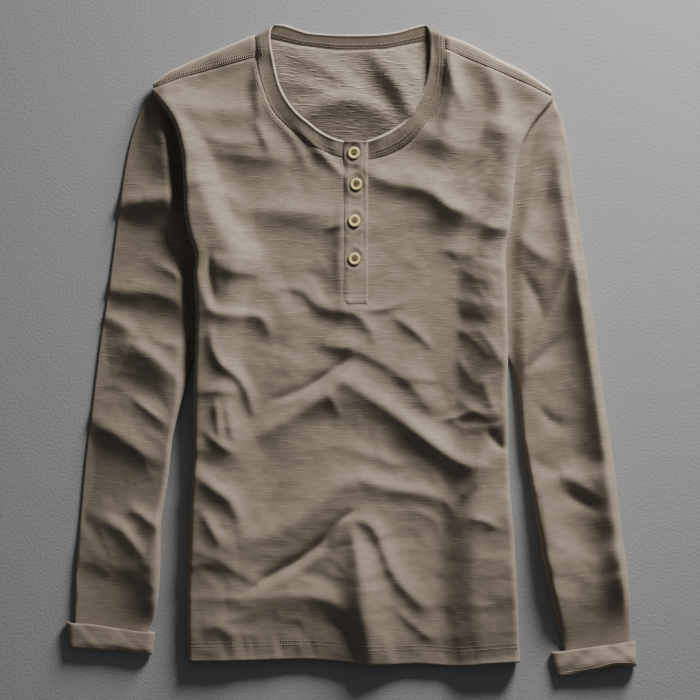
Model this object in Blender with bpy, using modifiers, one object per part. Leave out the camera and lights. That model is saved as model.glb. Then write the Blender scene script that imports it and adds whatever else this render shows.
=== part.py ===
"""A long-sleeved henley laid flat on its back, as thirteen closed pieces of cloth and button.

The garment lies in the XY plane with its underside at Z = 0: +Y runs from the hem to the neck,
and the wearer's right side is at -X. Each side of the body is folded under along its length, so
four layers lie on each other there, and the sleeves come out from beneath that fold.
Every cloth piece is an open grid of points along the middle of its wall, thickened by Solidify.
"""
import math
from collections import namedtuple

import bmesh
import bpy
import numpy as np

MM = 0.001  # all the sizes and tables below are in millimetres

# Driving sizes
WALL = 1.0  # cloth thickness, slub jersey with its nap
SEAM_GAP = 0.4  # clear space between two pieces that are sewn together
PITCH = 1.5  # from the middle of one layer to the middle of the next
GROUND = WALL / 2  # middle height of a layer that lies on the table
BODY_ROWS = 26  # rows of cells from hem to shoulder
FRONT_LEVEL = 4.8  # middle height of the front panel at the centre of the chest
SIDE_SPREAD = 55.0  # how far in from the side fold its raised rim fades out
SIDE_NOSE = 6.0  # largest inset of the round side fold
BACK_FOLD_INSET = 7.0  # the back panel's own fold lies this far inside the front's
BACK_NOSE = 0.85  # radius of the back panel's fold
TUCKED = PITCH + 2 * BACK_NOSE  # what the back panel rises by over the two layers tucked under it
BACK_REST = 10.0  # past the end of the tucked layers the back panel stays level for this far
BACK_SLOPE = 46.0  # and then comes down to the table over this width
FOLD_TOP_Y = 240.0  # above this height the side is sewn to the sleeve and isn't folded
FRONT_SPARE = 10.0  # how much further in the front panel stays over the raised part of the back
LEAST_LIP = 4.0  # where the tuck runs out, the cloth still goes this far past the round fold
SHOULDER_NOSE = 4.0  # largest inset of the round fold along the shoulder
SLEEVE_HIDDEN = 2.0  # middle to middle height of a sleeve pressed flat under the body
SLEEVE_LIFT = SLEEVE_HIDDEN + PITCH  # what the body rises by where a sleeve lies beneath it
OVER_SLEEVE_Y = (-75.0, -12.0)  # the body steps up onto the sleeves between these heights
STACK_END_Y = (246.0, 276.0)  # the folded layers thin out to nothing between these heights
SHOULDER_RISE = 4.0  # height of the rim along the shoulder fold
SHOULDER_SPREAD = (8.0, 55.0)  # how far below the fold that rim fades out
SHOULDER_END = (8.0, 60.0)  # and how far in from the shoulder point it starts
ROUNDNESS = 1.2  # softness of the step where the front comes down onto the back
SLEEVE_FULLNESS = 4.2  # how much higher a sleeve's upper layer lies where nothing presses it
SLEEVE_PRESSED = (10.0, 46.0)  # a sleeve fills out between these distances outside the body
SLEEVE_FREE_Y = (-95.0, -30.0)  # below this the sleeve is clear of the body and full all over
CUFF_GATHER = (34.0, 8.0)  # a sleeve rises into its cuff between these heights over its top edge
PLACKET_X = (-8.5, 4.25, 17.0)  # free edge, middle and sewn edge of the upper placket
PLACKET_Y = (50.0, 224.4)
UNDER_X = (-7.0, 4.25, 15.5)
UNDER_Y = (54.0, 222.5)
SLOT_X = (-5.0, 13.0)  # the opening in the front panel that the two plackets close
SLOT_BOTTOM = 62.0
PLACKET_PITCH = 1.6
PLACKET_END_CLEAR = 4.0  # no row of a placket lies nearer than this to its ends
BUTTON_RADIUS = 7.0
BUTTON_HOLE_RADIUS = 0.9
BUTTON_HOLE_SPREAD = 1.75
BUTTON_SIDES = 20
HOLE_SIDES = 8
DRILL_REACH = (-1.0, 4.0)  # a button hole's cutter, from below the seat to above the rim

# Side fold lines of the body, hem to shoulder point. tuck: how far the cloth runs back under the
# body from the fold. rise: how high the rim along the fold stands over the middle of the chest.
Side = namedtuple("Side", "y x tuck rise")
RIGHT_SIDE = [
    Side(-332, -175, 75, 6),
    Side(-283, -175, 75, 8),
    Side(-207, -175, 75, 10),
    Side(-114, -169, 75, 11),
    Side(4, -167, 75, 12),
    Side(30, -166, 75, 12),
    Side(45, -166, 66, 12),
    Side(82, -168, 40, 12),
    Side(106, -167, 33, 12),
    Side(127, -173.5, 26, 12),
    Side(147, -177.5, 20, 12),
    Side(180, -179, 11, 11),
    Side(219, -182, 5, 9),
    Side(247, -190, 2, 4),
    Side(284, -214, 0, 0),
]
LEFT_SIDE = [
    Side(-332, 179, 75, 6),
    Side(-286, 177, 75, 8),
    Side(-210, 173, 75, 10),
    Side(-128, 167, 75, 11),
    Side(-34, 165, 75, 12),
    Side(12, 166, 75, 12),
    Side(30, 165, 75, 12),
    Side(49, 165, 66, 12),
    Side(86, 164, 40, 12),
    Side(119, 164, 28, 12),
    Side(141, 169, 21, 12),
    Side(178, 172.5, 11, 11),
    Side(211, 176, 5, 9),
    Side(244, 190, 2, 4),
    Side(276, 216, 0, 0),
]

# Lines across the body: the hem, the shoulder seam on the front, and the top edge of the back
# panel's lying half, which is the shoulder fold outside the neck and the neck seam within it.
Point = namedtuple("Point", "x y")
HEM = [
    Point(-175, -331.6),
    Point(-41, -330),
    Point(19, -335),
    Point(78, -335),
    Point(110, -337),
    Point(179, -332),
]
SHOULDER_SEAM = [
    Point(-214, 279),
    Point(-179, 292),
    Point(-144, 302),
    Point(-102, 314),
    Point(100, 322),
    Point(127, 310),
    Point(155, 298.5),
    Point(188, 284),
    Point(216, 270.5),
]
BACK_TOP = [
    Point(-214, 284),
    Point(-196, 298),
    Point(-168, 311),
    Point(-130, 327),
    Point(-103.5, 338),
    Point(-58, 327),
    Point(-16, 321.8),
    Point(34, 322.4),
    Point(76, 331),
    Point(99.7, 337.5),
    Point(121, 330),
    Point(154, 313),
    Point(181, 300),
    Point(203, 286),
    Point(216, 276),
]

# Largest folds of the front panel. Each runs along a bend through three points; width is its half
# width where it has fallen by a third, and height is its crest (+) or its floor (-).
Fold = namedtuple("Fold", "x0 y0 x1 y1 x2 y2 width height")
FRONT_FOLDS = [
    Fold(2, -25, 71, -69, 160, -109, 15, 5.0),
    Fold(2, -58, 62, -91, 123, -142, 13, -3.6),
    Fold(-5, 2, 30, -20, 73, -57, 12, -2.6),
    Fold(1, -125, 28, -138, 63, -147, 13, 3.4),
    Fold(12, -150, 50, -157, 82, -176, 12, -2.4),
    Fold(7, -185, 35, -237, 71, -276, 11, -3.0),
    Fold(3, -203, 25, -260, 38, -318, 14, 3.6),
    Fold(-143, -193, -60, -172, 7, -133, 17, 4.6),
    Fold(0, -169, -50, -215, -102, -255, 12, -3.2),
    Fold(-102, -255, -140, -225, -166, -165, 12, -3.6),
    Fold(-160, 78, -150, 40, -86, 30, 12, 3.2),
    Fold(-142, 6, -125, -25, -106, -61, 12, 3.2),
    Fold(-105, -82, -55, -60, -8, -12, 13, 3.2),
    Fold(-45, 42, -18, 22, 20, 0, 12, -2.4),
    Fold(94, 259, 98, 215, 122, 183, 13, -3.6),
    Fold(28, 186, 65, 182, 115, 166, 13, 3.4),
    Fold(31, 162, 75, 157, 124, 136, 12, -3.4),
]

# The sleeves, from the armhole to the end inside the turned-up cuff. The inner edge starts at the
# underarm, under the body, and the outer edge starts at the shoulder point.
Edge = namedtuple("Edge", "outer_x outer_y inner_x inner_y")
RIGHT_SLEEVE = [
    Edge(-212.5, 279, -92, 31),
    Edge(-226, 256, -116, 22),
    Edge(-237, 222, -142, 12),
    Edge(-245, 180, -164, 2),
    Edge(-251, 134, -177, -34),
    Edge(-260, 66, -191, -88),
    Edge(-269, 8, -197, -136),
    Edge(-277, -56, -204, -180),
    Edge(-284, -112, -205, -222),
    Edge(-290, -176, -207, -258),
    Edge(-295, -238, -211, -282),
    Edge(-296, -288, -218, -299),
    Edge(-296, -309, -218, -317),
]
LEFT_SLEEVE = [
    Edge(214.5, 271, 91, 31),
    Edge(224, 248, 114, 22),
    Edge(231, 216, 140, 11),
    Edge(236, 178, 164, 0),
    Edge(241.5, 137, 178, -44),
    Edge(252, 74, 183, -94),
    Edge(261, 8, 191, -140),
    Edge(269, -52, 200, -196),
    Edge(279, -116, 206, -232),
    Edge(288, -190, 214, -268),
    Edge(296, -252, 222, -300),
    Edge(297, -306, 228, -322),
    Edge(297, -324, 229, -336),
]
ARMHOLE_LAP = 2.0  # the sleeve runs this far under the body past the armhole seam
BOWED_RINGS = 9  # the armhole's curve dies out over this many rings of the sleeve
SLEEVE_TURN = (0.0, 0.08, 0.24, 0.42, 0.6, 0.77, 0.92, 1.0)  # places across a sleeve

# Largest folds of the sleeves, in the same form as those of the front.
RIGHT_SLEEVE_FOLDS = [
    Fold(-246, 163, -225, 165, -188, 172, 13, 3.0),
    Fold(-248, 135, -215, 139, -186, 140, 14, -3.0),
    Fold(-262, -30, -240, -38, -205, -74, 13, 3.0),
    Fold(-252, -88, -238, -120, -206, -158, 13, -2.6),
    Fold(-284, -190, -278, -225, -236, -290, 15, 3.0),
]
LEFT_SLEEVE_FOLDS = [
    Fold(226, 88, 214, 20, 180, -18, 14, 2.6),
    Fold(241, 90, 243, -5, 255, -110, 13, -2.6),
    Fold(256, -118, 272, -210, 286, -300, 13, -2.6),
]

# Turned-up cuffs: the free top edge and the folded bottom edge, outer end and inner end.
Cuff = namedtuple("Cuff", "top_outer top_inner bottom_outer bottom_inner height")
RIGHT_CUFF = Cuff((-304.5, -289), (-211, -301), (-302.5, -317), (-214, -325), 13.5)
LEFT_CUFF = Cuff((302.5, -310), (213, -322), (304, -337), (219, -348), 14.0)
# Section of a cuff from the free edge, round the bottom fold, to the end of the turned-in part.
# drop: place between the top edge and the bottom fold. inset: 0 outside the sleeve, 1 inside it.
CuffStep = namedtuple("CuffStep", "drop inset")
CUFF_SECTION = [
    CuffStep(0.0, 0.0),
    CuffStep(0.5, 0.0),
    CuffStep(0.93, 0.0),
    CuffStep(1.0, 0.5),
    CuffStep(0.93, 1.0),
    CuffStep(0.66, 1.0),
]
CUFF_DEEP = 3.2  # height between a cuff's outer and inner walls
CUFF_SIDE_DEEP = 11.0  # the same across the sleeve, where the cuff stands wide of it

# The neckband, from the placket round the wearer's right shoulder and the back of the neck to the
# placket again. over: 1 where it lies on the front, 0 where it lies on the table behind the neck.
Band = namedtuple("Band", "seam_x seam_y free_x free_y over")
NECKBAND = [
    Band(-5, 206.5, -5, 223.6, 1),
    Band(-24, 211.5, -20, 227.5, 1),
    Band(-42, 220, -33, 234, 1),
    Band(-57, 230.5, -46, 244, 1),
    Band(-72, 243, -58, 254, 1),
    Band(-84, 257, -68.5, 267, 1),
    Band(-92, 275, -76, 281, 1),
    Band(-98, 295, -81, 298, 1),
    Band(-101.5, 315, -84.5, 316, 1),
    Band(-102.6, 329, -87, 332, 1),
    Band(-102.6, 335.5, -86.5, 342, 0.93),
    Band(-102, 338, -84, 347.2, 0.5),
    Band(-99.5, 338, -79, 349.5, 0.1),
    Band(-92, 336.2, -70, 348.5, 0),
    Band(-76, 332.4, -58, 344.5, 0),
    Band(-58, 328.4, -47, 341, 0),
    Band(-38, 325.4, -33, 339.6, 0),
    Band(-16, 322.8, -14, 338.6, 0),
    Band(10, 322.3, 10, 338.4, 0),
    Band(34, 323.8, 32, 339.4, 0),
    Band(56, 327.3, 50, 342, 0),
    Band(76, 332.4, 63, 346, 0),
    Band(90, 336, 72, 348.5, 0),
    Band(96, 337.5, 77, 349, 0.1),
    Band(98.2, 338, 80, 346.6, 0.5),
    Band(98.8, 334.5, 82, 341, 0.93),
    Band(98.8, 325, 83.5, 330, 1),
    Band(98.8, 310, 83.5, 312, 1),
    Band(97.5, 292, 81, 295, 1),
    Band(93.5, 273, 75.5, 277, 1),
    Band(84.5, 253, 67, 261.5, 1),
    Band(72, 235.5, 57.5, 247, 1),
    Band(59, 222, 46, 238, 1),
    Band(43, 212.5, 34, 231.5, 1),
    Band(26, 207, 22, 226.5, 1),
    Band(13, 204.5, 13, 224, 1),
]
BAND_CROWN = 0.8
BAND_BACK_LEVEL = 0.75
NECK_TOP = 352.0  # the neck cutter reaches past the shoulder seam to here
NECK_CUT_Z = (-5.0, 40.0)

BUTTONS = [Point(1.9, 211.5), Point(4.4, 178.1), Point(2.6, 139.0), Point(2.6, 98.4)]

Finish = namedtuple("Finish", "colour roughness metallic")
FINISHES = {
    "slub_jersey": Finish((0.216, 0.185, 0.147), 0.92, 0.0),
    "jersey_reverse": Finish((0.240, 0.205, 0.160), 0.94, 0.0),
    "neck_rib": Finish((0.190, 0.162, 0.128), 0.90, 0.0),
    "placket_cloth": Finish((0.205, 0.176, 0.140), 0.90, 0.0),
    "button_horn": Finish((0.560, 0.480, 0.290), 0.38, 0.0),
}


# ---------------------------------------------------------------- rules of the form
def ease(low, high, value):
    """0 below low, 1 above high, and a smooth rise between them."""
    t = np.clip((value - low) / (high - low), 0.0, 1.0)
    return t * t * (3.0 - 2.0 * t)


def mix(a, b, t):
    return a + (b - a) * t


def at(table, column, y):
    """One column of a side table at the height y."""
    return float(np.interp(y, [row.y for row in table], [getattr(row, column) for row in table]))


def line_y(line, x):
    """Height of a line across the body at x."""
    return float(np.interp(x, [point.x for point in line], [point.y for point in line]))


def bend(fold, steps=12):
    """Points along a fold: a curve through its start, middle and end."""
    t = np.linspace(0.0, 1.0, steps + 1)
    middle_x = 2.0 * fold.x1 - 0.5 * (fold.x0 + fold.x2)
    middle_y = 2.0 * fold.y1 - 0.5 * (fold.y0 + fold.y2)
    x = (1 - t) ** 2 * fold.x0 + 2 * t * (1 - t) * middle_x + t * t * fold.x2
    y = (1 - t) ** 2 * fold.y0 + 2 * t * (1 - t) * middle_y + t * t * fold.y2
    return t, x, y


def fold_height(folds, x, y):
    """Sum of the folds at (x, y): a soft ridge or trough that fades at both ends."""
    total = 0.0
    for fold in folds:
        t, fold_x, fold_y = bend(fold)
        apart = np.hypot(fold_x - x, fold_y - y)
        nearest = int(np.argmin(apart))
        fade = 0.35 + 0.65 * math.sin(math.pi * t[nearest])
        total += fold.height * fade * math.exp(-((apart[nearest] / fold.width) ** 2))
    return total


def side_of(x, y):
    """The side table that (x, y) is nearer to, and how far inside its fold line the point is."""
    if x < 0.0:
        return RIGHT_SIDE, x - at(RIGHT_SIDE, "x", y)
    return LEFT_SIDE, at(LEFT_SIDE, "x", y) - x


def over_sleeve(y):
    """1 beside the armholes, where a sleeve lies under the body, and 0 lower down."""
    return ease(*OVER_SLEEVE_Y, y)


def back_z(x, y, spare=0.0):
    """Middle height of the back panel: on the table, and over the folded layers at the sides.

    spare widens the raised part, for a layer above that has to stay clear of it.
    """
    table, inside = side_of(x, y)
    level = at(table, "tuck", y) + BACK_REST + spare
    stacked = 1.0 - ease(level, level + BACK_SLOPE, inside)
    layers = TUCKED * (1.0 - ease(*STACK_END_Y, y))
    return GROUND + stacked * (layers + SLEEVE_LIFT * float(over_sleeve(y)))


def front_z(x, y):
    """Middle height of the front panel: rims along the sides and shoulders, and the folds."""
    table, inside = side_of(x, y)
    rim = at(table, "rise", y) * math.exp(-((max(inside, 0.0) / SIDE_SPREAD) ** 2))
    near_fold = 1.0 - float(ease(*SHOULDER_SPREAD, line_y(BACK_TOP, x) - y))
    shoulder = SHOULDER_RISE * near_fold * float(ease(*SHOULDER_END, inside))
    height = FRONT_LEVEL + rim + shoulder + fold_height(FRONT_FOLDS, x, y)
    lowest = back_z(x, y, FRONT_SPARE) + PITCH
    return lowest + 0.5 * (height - lowest + math.hypot(height - lowest, ROUNDNESS))


def sleeve_top_z(folds, x, y):
    """Middle height of a sleeve's upper layer: pressed flat under the body, fuller outside it."""
    inside = side_of(x, y)[1]
    free = float(ease(*SLEEVE_PRESSED, -inside))
    fullness = mix(1.0, free, float(ease(*SLEEVE_FREE_Y, y)))
    return GROUND + SLEEVE_HIDDEN + fullness * max(0.0, SLEEVE_FULLNESS + fold_height(folds, x, y))


def row_frame(v):
    """Left and right ends of the body's row at the fraction v from hem to shoulder."""
    right_y = mix(RIGHT_SIDE[0].y, RIGHT_SIDE[-1].y, v)
    left_y = mix(LEFT_SIDE[0].y, LEFT_SIDE[-1].y, v)
    return right_y, left_y, at(RIGHT_SIDE, "x", right_y), at(LEFT_SIDE, "x", left_y)


def row_y(v, x):
    """Height of that row of the front panel at x, between the hem and the shoulder seam."""
    _, _, right_x, left_x = row_frame(v)
    s = (x - right_x) / (left_x - right_x)
    hem = line_y(HEM, mix(HEM[0].x, HEM[-1].x, s))
    seam = line_y(SHOULDER_SEAM, mix(SHOULDER_SEAM[0].x, SHOULDER_SEAM[-1].x, s))
    return mix(hem, seam, v)


def back_row_y(v, x):
    """Height of a row of the back panel, which runs on to the shoulder fold and the neck seam."""
    _, _, right_x, left_x = row_frame(v)
    s = (x - right_x) / (left_x - right_x)
    across = mix(BACK_TOP[0].x, BACK_TOP[-1].x, s)
    further = line_y(BACK_TOP, across) - line_y(SHOULDER_SEAM, across)
    return row_y(v, x) + further * float(ease(0.6, 1.0, v))


# ---------------------------------------------------------------- making cloth
def finish_material(name):
    """A Principled material with the finish of that name."""
    material = bpy.data.materials.get(name)
    if material is None:
        material = bpy.data.materials.new(name)
        material.use_nodes = True
        shader = material.node_tree.nodes["Principled BSDF"]
        finish = FINISHES[name]
        shader.inputs["Base Color"].default_value = (*finish.colour, 1.0)
        shader.inputs["Roughness"].default_value = finish.roughness
        shader.inputs["Metallic"].default_value = finish.metallic
    return material


def add_object(name, mesh, collection, finish=None):
    """Link a new object, smooth-shaded with its finish."""
    obj = bpy.data.objects.new(name, mesh)
    collection.objects.link(obj)
    if finish:
        mesh.materials.append(finish_material(finish))
        mesh.shade_smooth()
        mesh.set_sharp_from_angle(angle=math.radians(50))
    return obj


def add_sheet(name, rows, collection, finish, ring=False, keep=None):
    """A wall of cloth through a grid of points, given as rows of (x, y, z) in millimetres.

    ring joins the last point of each row to its first. keep(row, column) says which cells exist.
    """
    form = bmesh.new()
    grid = [[form.verts.new((x * MM, y * MM, z * MM)) for x, y, z in row] for row in rows]
    columns = len(rows[0])
    spans = columns if ring else columns - 1
    for i in range(len(rows) - 1):
        for j in range(spans):
            if keep and not keep(i, j):
                continue
            k = (j + 1) % columns
            form.faces.new((grid[i][j], grid[i][k], grid[i + 1][k], grid[i + 1][j]))
    loose = [vert for vert in form.verts if not vert.link_faces]
    bmesh.ops.delete(form, geom=loose, context="VERTS")
    mesh = bpy.data.meshes.new(name)
    form.to_mesh(mesh)
    form.free()
    obj = add_object(name, mesh, collection, finish)
    wall = obj.modifiers.new("Cloth wall", "SOLIDIFY")
    wall.thickness = WALL * MM
    wall.offset = 0.0
    wall.use_even_offset = True
    wall.use_quality_normals = True
    return obj


def nose(inset, low, high, angles):
    """Points (inset from the fold line, z) round a fold from the layer at low to that at high."""
    middle = 0.5 * (low + high)
    half = 0.5 * (high - low)
    turn = [math.radians(angle) for angle in angles]
    return [(inset - inset * math.cos(a), middle + half * math.sin(a)) for a in turn]


# ---------------------------------------------------------------- front panel
FRONT_SPREAD = (0.0, 0.06, 0.14, 0.24, 0.36, 0.5, 0.66, 0.82, 1.0)  # side fold to placket
NOSE_TURN = (-90, -45, 0, 45, 90)


def folded_under(v):
    """Whether the body's side is still folded under at the row v, on both sides."""
    right_y, left_y, _, _ = row_frame(v)
    return max(right_y, left_y) <= FOLD_TOP_Y + 8.0


def front_side_points(v, table, side_y, side_x, sign):
    """One side of a row of the front, from the end of the tuck round the fold to the top."""
    under = tuck_z(v, side_x)
    nose_x = side_x + sign * SIDE_NOSE
    top = front_z(nose_x, row_y(v, nose_x))
    inset = min(SIDE_NOSE, 0.5 * (top - under))
    reach = max(at(table, "tuck", side_y), inset + LEAST_LIP)
    end_x = side_x + sign * reach
    points = [(end_x, row_y(v, end_x), tuck_z(v, end_x))]
    for inside, z in nose(inset, under, top, NOSE_TURN):
        x = side_x + sign * inside
        points.append((x, row_y(v, x), z))
    return points


def tuck_z(v, x):
    """Middle height of the front's tucked layer, on the table or over a sleeve."""
    return GROUND + SLEEVE_LIFT * float(over_sleeve(row_y(v, x)))


def front_rows():
    """Grid of the front panel. Each row: tuck, side fold, chest, placket, chest, fold, tuck."""
    rows = []
    for i in range(BODY_ROWS + 1):
        v = i / BODY_ROWS
        right_y, left_y, right_x, left_x = row_frame(v)
        near = front_side_points(v, RIGHT_SIDE, right_y, right_x, 1.0)
        far = front_side_points(v, LEFT_SIDE, left_y, left_x, -1.0)
        chest = [mix(near[-1][0], PLACKET_X[0], s) for s in FRONT_SPREAD[1:]]
        chest += [PLACKET_X[1]]
        chest += [mix(PLACKET_X[2], far[-1][0], 1.0 - s) for s in FRONT_SPREAD[:0:-1]]
        middle = []
        for x in chest:
            y = row_y(v, x)
            middle.append((x, y, front_z(x, y)))
        if not folded_under(v):
            near = edge_row(near, right_x, v)
            far = edge_row(far, left_x, v)
        rows.append(near + middle + far[::-1])
    return rows


def edge_row(points, side_x, v):
    """Above the fold the panel ends at its side line, so the last point moves out to it."""
    y = row_y(v, side_x)
    return points[:-1] + [(side_x, y, front_z(side_x, y))]


def front_cell(i, j):
    """Cells of the front panel: the fold and tuck stop where the sleeve is sewn on."""
    side = len(NOSE_TURN)
    last = len(FRONT_GRID[0]) - 1 - side
    return side <= j < last or folded_under((i + 1) / BODY_ROWS)


def placket_z(x, y):
    """Middle height of the front panel's own cells in the placket's width."""
    first = len(NOSE_TURN) + len(FRONT_SPREAD) - 1
    heights = []
    for j in range(first, first + 3):
        column = [row[j] for row in FRONT_GRID]
        heights.append(float(np.interp(y, [p[1] for p in column], [p[2] for p in column])))
    return float(np.interp(x, PLACKET_X, heights))


def neck_outline():
    """Outline of the neck and of the placket's slot, as the front panel is cut."""
    seam = [(row.seam_x, row.seam_y) for row in NECKBAND if row.over > 0.9]
    half = next(i for i, point in enumerate(seam) if point[0] > 0)
    right, left = seam[:half], seam[half:]
    outline = [(SLOT_X[0], SLOT_BOTTOM)] + right + [(right[-1][0], NECK_TOP)]
    outline += [(left[0][0], NECK_TOP)] + left + [(SLOT_X[1], SLOT_BOTTOM)]
    return outline


def add_prism(name, outline, low, high, collection):
    """A closed upright prism on an outline, used as a cutter."""
    form = bmesh.new()
    base = form.faces.new([form.verts.new((x * MM, y * MM, low * MM)) for x, y in outline])
    grown = bmesh.ops.extrude_face_region(form, geom=[base])
    lifted = [part for part in grown["geom"] if isinstance(part, bmesh.types.BMVert)]
    bmesh.ops.translate(form, verts=lifted, vec=(0.0, 0.0, (high - low) * MM))
    bmesh.ops.recalc_face_normals(form, faces=form.faces)
    mesh = bpy.data.meshes.new(name)
    form.to_mesh(mesh)
    form.free()
    return as_cutter(add_object(name, mesh, collection))


def as_cutter(obj):
    obj.hide_render = True
    obj.display_type = "WIRE"
    return obj


def cut(obj, cutter):
    opening = obj.modifiers.new("Cut by " + cutter.name, "BOOLEAN")
    opening.operation = "DIFFERENCE"
    opening.object = cutter


def add_front(collection, cutters):
    front = add_sheet("front_body", FRONT_GRID, collection, "slub_jersey", keep=front_cell)
    cut(front, add_prism("neck_cutter", neck_outline(), *NECK_CUT_Z, cutters))


# ---------------------------------------------------------------- back panel
NECK_X = (-103.5, -58.0, -16.0, 34.0, 76.0, 99.7)  # columns of the back along the neck seam
NECK_COLUMNS = (4, 9)  # the first and last column that the back has at the neck
MIDDLE_X = 18.0  # lower down, the outer two of those columns lie this far from the centre
BACK_TURN = (-90, 0, 90)
SHOULDER_TURN = (-45, 0, 45, 90)


def back_side_points(v, table, side_y, side_x, sign):
    """One side of a row of the back, from the end of its tuck round its fold."""
    reach = max(at(table, "tuck", side_y), BACK_FOLD_INSET + BACK_NOSE + LEAST_LIP)
    x = side_x + sign * reach
    points = [(x, row_y(v, x), tuck_z(v, x) + PITCH)]
    for inset, rise in nose(BACK_NOSE, 0.0, 2.0 * BACK_NOSE, BACK_TURN)[:-1]:
        x = side_x + sign * (BACK_FOLD_INSET + inset)
        points.append((x, row_y(v, x), tuck_z(v, x) + PITCH + rise))
    return points


def back_columns(v, table, side_y, side_x, sign, neck_x):
    """Places across one half of the back's row, from its fold to the column at the neck point."""
    edge = mix(BACK_FOLD_INSET + BACK_NOSE, 2.0, float(ease(FOLD_TOP_Y, 274.0, side_y)))
    level = at(table, "tuck", side_y) + BACK_REST
    insets = (edge, mix(edge, level, 0.55), level, level + BACK_SLOPE)
    inner = mix(-sign * MIDDLE_X, neck_x, float(ease(0.55, 0.95, v)))
    return [side_x + sign * inset for inset in insets] + [inner]


def back_rows():
    """Grid of the back panel, then the rows that wrap over the shoulder to the front seam."""
    rows = []
    for i in range(BODY_ROWS + 1):
        v = i / BODY_ROWS
        right_y, left_y, right_x, left_x = row_frame(v)
        near = back_side_points(v, RIGHT_SIDE, right_y, right_x, 1.0)
        far = back_side_points(v, LEFT_SIDE, left_y, left_x, -1.0)
        places = back_columns(v, RIGHT_SIDE, right_y, right_x, 1.0, NECK_X[0])
        ends = back_columns(v, LEFT_SIDE, left_y, left_x, -1.0, NECK_X[-1])
        for x in NECK_X[1:-1]:
            s = (x - NECK_X[0]) / (NECK_X[-1] - NECK_X[0])
            places.append(mix(places[4], ends[4], s))
        middle = []
        for j, x in enumerate(places + ends[::-1]):
            y = back_row_y(v, x)
            outside_neck = j <= NECK_COLUMNS[0] or j >= NECK_COLUMNS[1]
            if i == BODY_ROWS and outside_neck:
                y -= shoulder_inset(x)
            middle.append((x, y, back_z(x, y)))
        rows.append(near + middle + far[::-1])
    return rows + shoulder_rows(rows[-1])


def shoulder_inset(x):
    """Inset of the shoulder fold at x: small where the strip over the shoulder is narrow."""
    return min(SHOULDER_NOSE, 0.4 * (line_y(BACK_TOP, x) - line_y(SHOULDER_SEAM, x)))


def shoulder_rows(top_row):
    """Rows round the shoulder fold and down its strip to the seam on the front."""
    rows = []
    for angle in SHOULDER_TURN:
        row = []
        for x, y, z in top_row:
            inset = shoulder_inset(x)
            fold_y = y + inset
            high = front_z(x, fold_y - inset)
            step, height = nose(inset, z, high, (angle,))[0]
            row.append((x, fold_y - step, height))
        rows.append(row)
    seam = []
    for x, _, _ in top_row:
        y = line_y(SHOULDER_SEAM, x) + 3.0 * SEAM_GAP
        seam.append((x, y, front_z(x, y)))
    return rows + [seam]


def back_cell(i, j):
    """Cells of the back: no tuck above the fold, and no shoulder strip inside the neck."""
    side = len(BACK_TURN)
    last = side + NECK_COLUMNS[0] + NECK_COLUMNS[1]
    in_tuck = j < side or j >= last
    if i < BODY_ROWS:
        return not in_tuck or folded_under((i + 1) / BODY_ROWS)
    in_neck = side + NECK_COLUMNS[0] <= j < side + NECK_COLUMNS[1]
    return not in_tuck and not in_neck


# ---------------------------------------------------------------- sleeves and cuffs
def across_points(outer, inner):
    """Places across a sleeve or cuff, on a straight line between its two edges."""
    return [(mix(outer[0], inner[0], s), mix(outer[1], inner[1], s)) for s in SLEEVE_TURN]


def ring_points(plan, low, top):
    """A flattened ring: top layer along the plan's points, and the bottom layer back again."""
    heights = [top(x, y) for x, y in plan]
    for end in (0, -1):
        heights[end] = 0.5 * (low + heights[end])
    points = [(x, y, z) for (x, y), z in zip(plan, heights)]
    return points + [(x, y, low) for x, y in plan[-2:0:-1]]


def armhole_bow(straight):
    """How far the armhole's curve lies from a straight line between the sleeve's two corners."""
    bow = []
    for x, y in straight:
        table, _ = side_of(x, y)
        sign = 1.0 if x < 0.0 else -1.0
        seam_x = at(table, "x", y) + sign * (at(table, "tuck", y) + ARMHOLE_LAP)
        bow.append(seam_x - x)
    bow[0] = bow[-1] = 0.0
    return bow


def smooth_edges(table, parts=2):
    """Sleeve edges with extra rows between, on a curve through the table's rows."""
    source = np.array(table, dtype=float)
    result = []
    for i in range(len(source) - 1):
        before, after = source[max(i - 1, 0)], source[min(i + 2, len(source) - 1)]
        for k in range(parts):
            t = k / parts
            a, b = source[i], source[i + 1]
            curve = 2 * a + (b - before) * t + (2 * before - 5 * a + 4 * b - after) * t * t
            curve = curve + (3 * a - before - 3 * b + after) * t ** 3
            result.append(Edge(*(0.5 * curve)))
    return result + [table[-1]]


def cuff_level(cuff, inset):
    """Bottom and top of a cuff's ring at the inset 0 (outside) to 1 (inside the sleeve)."""
    return GROUND + CUFF_DEEP * inset, cuff.height - CUFF_DEEP * inset


def add_sleeve(name, table, folds, cuff, collection):
    """The sleeve: a flattened tube that rises inside its cuff."""
    rows = []
    edges = smooth_edges(table)
    cuff_top = 0.5 * (cuff.top_outer[1] + cuff.top_inner[1])
    cuff_low, cuff_high = cuff_level(cuff, 0.5)
    bow = armhole_bow(across_points(table[0][:2], table[0][2:]))
    for number, edge in enumerate(edges):
        straight = across_points(edge[:2], edge[2:])
        fade = max(0.0, 1.0 - number / BOWED_RINGS) ** 2
        plan = [(x + fade * dx, y) for (x, y), dx in zip(straight, bow)]
        middle_y = 0.5 * (edge.outer_y + edge.inner_y)
        gathered = float(ease(*CUFF_GATHER, middle_y - cuff_top))
        low = mix(GROUND, cuff_low, gathered)

        def top(x, y, gathered=gathered):
            return mix(sleeve_top_z(folds, x, y), cuff_high, gathered)

        rows.append(ring_points(plan, low, top))
    add_sheet(name, rows, collection, "slub_jersey", ring=True)


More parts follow.
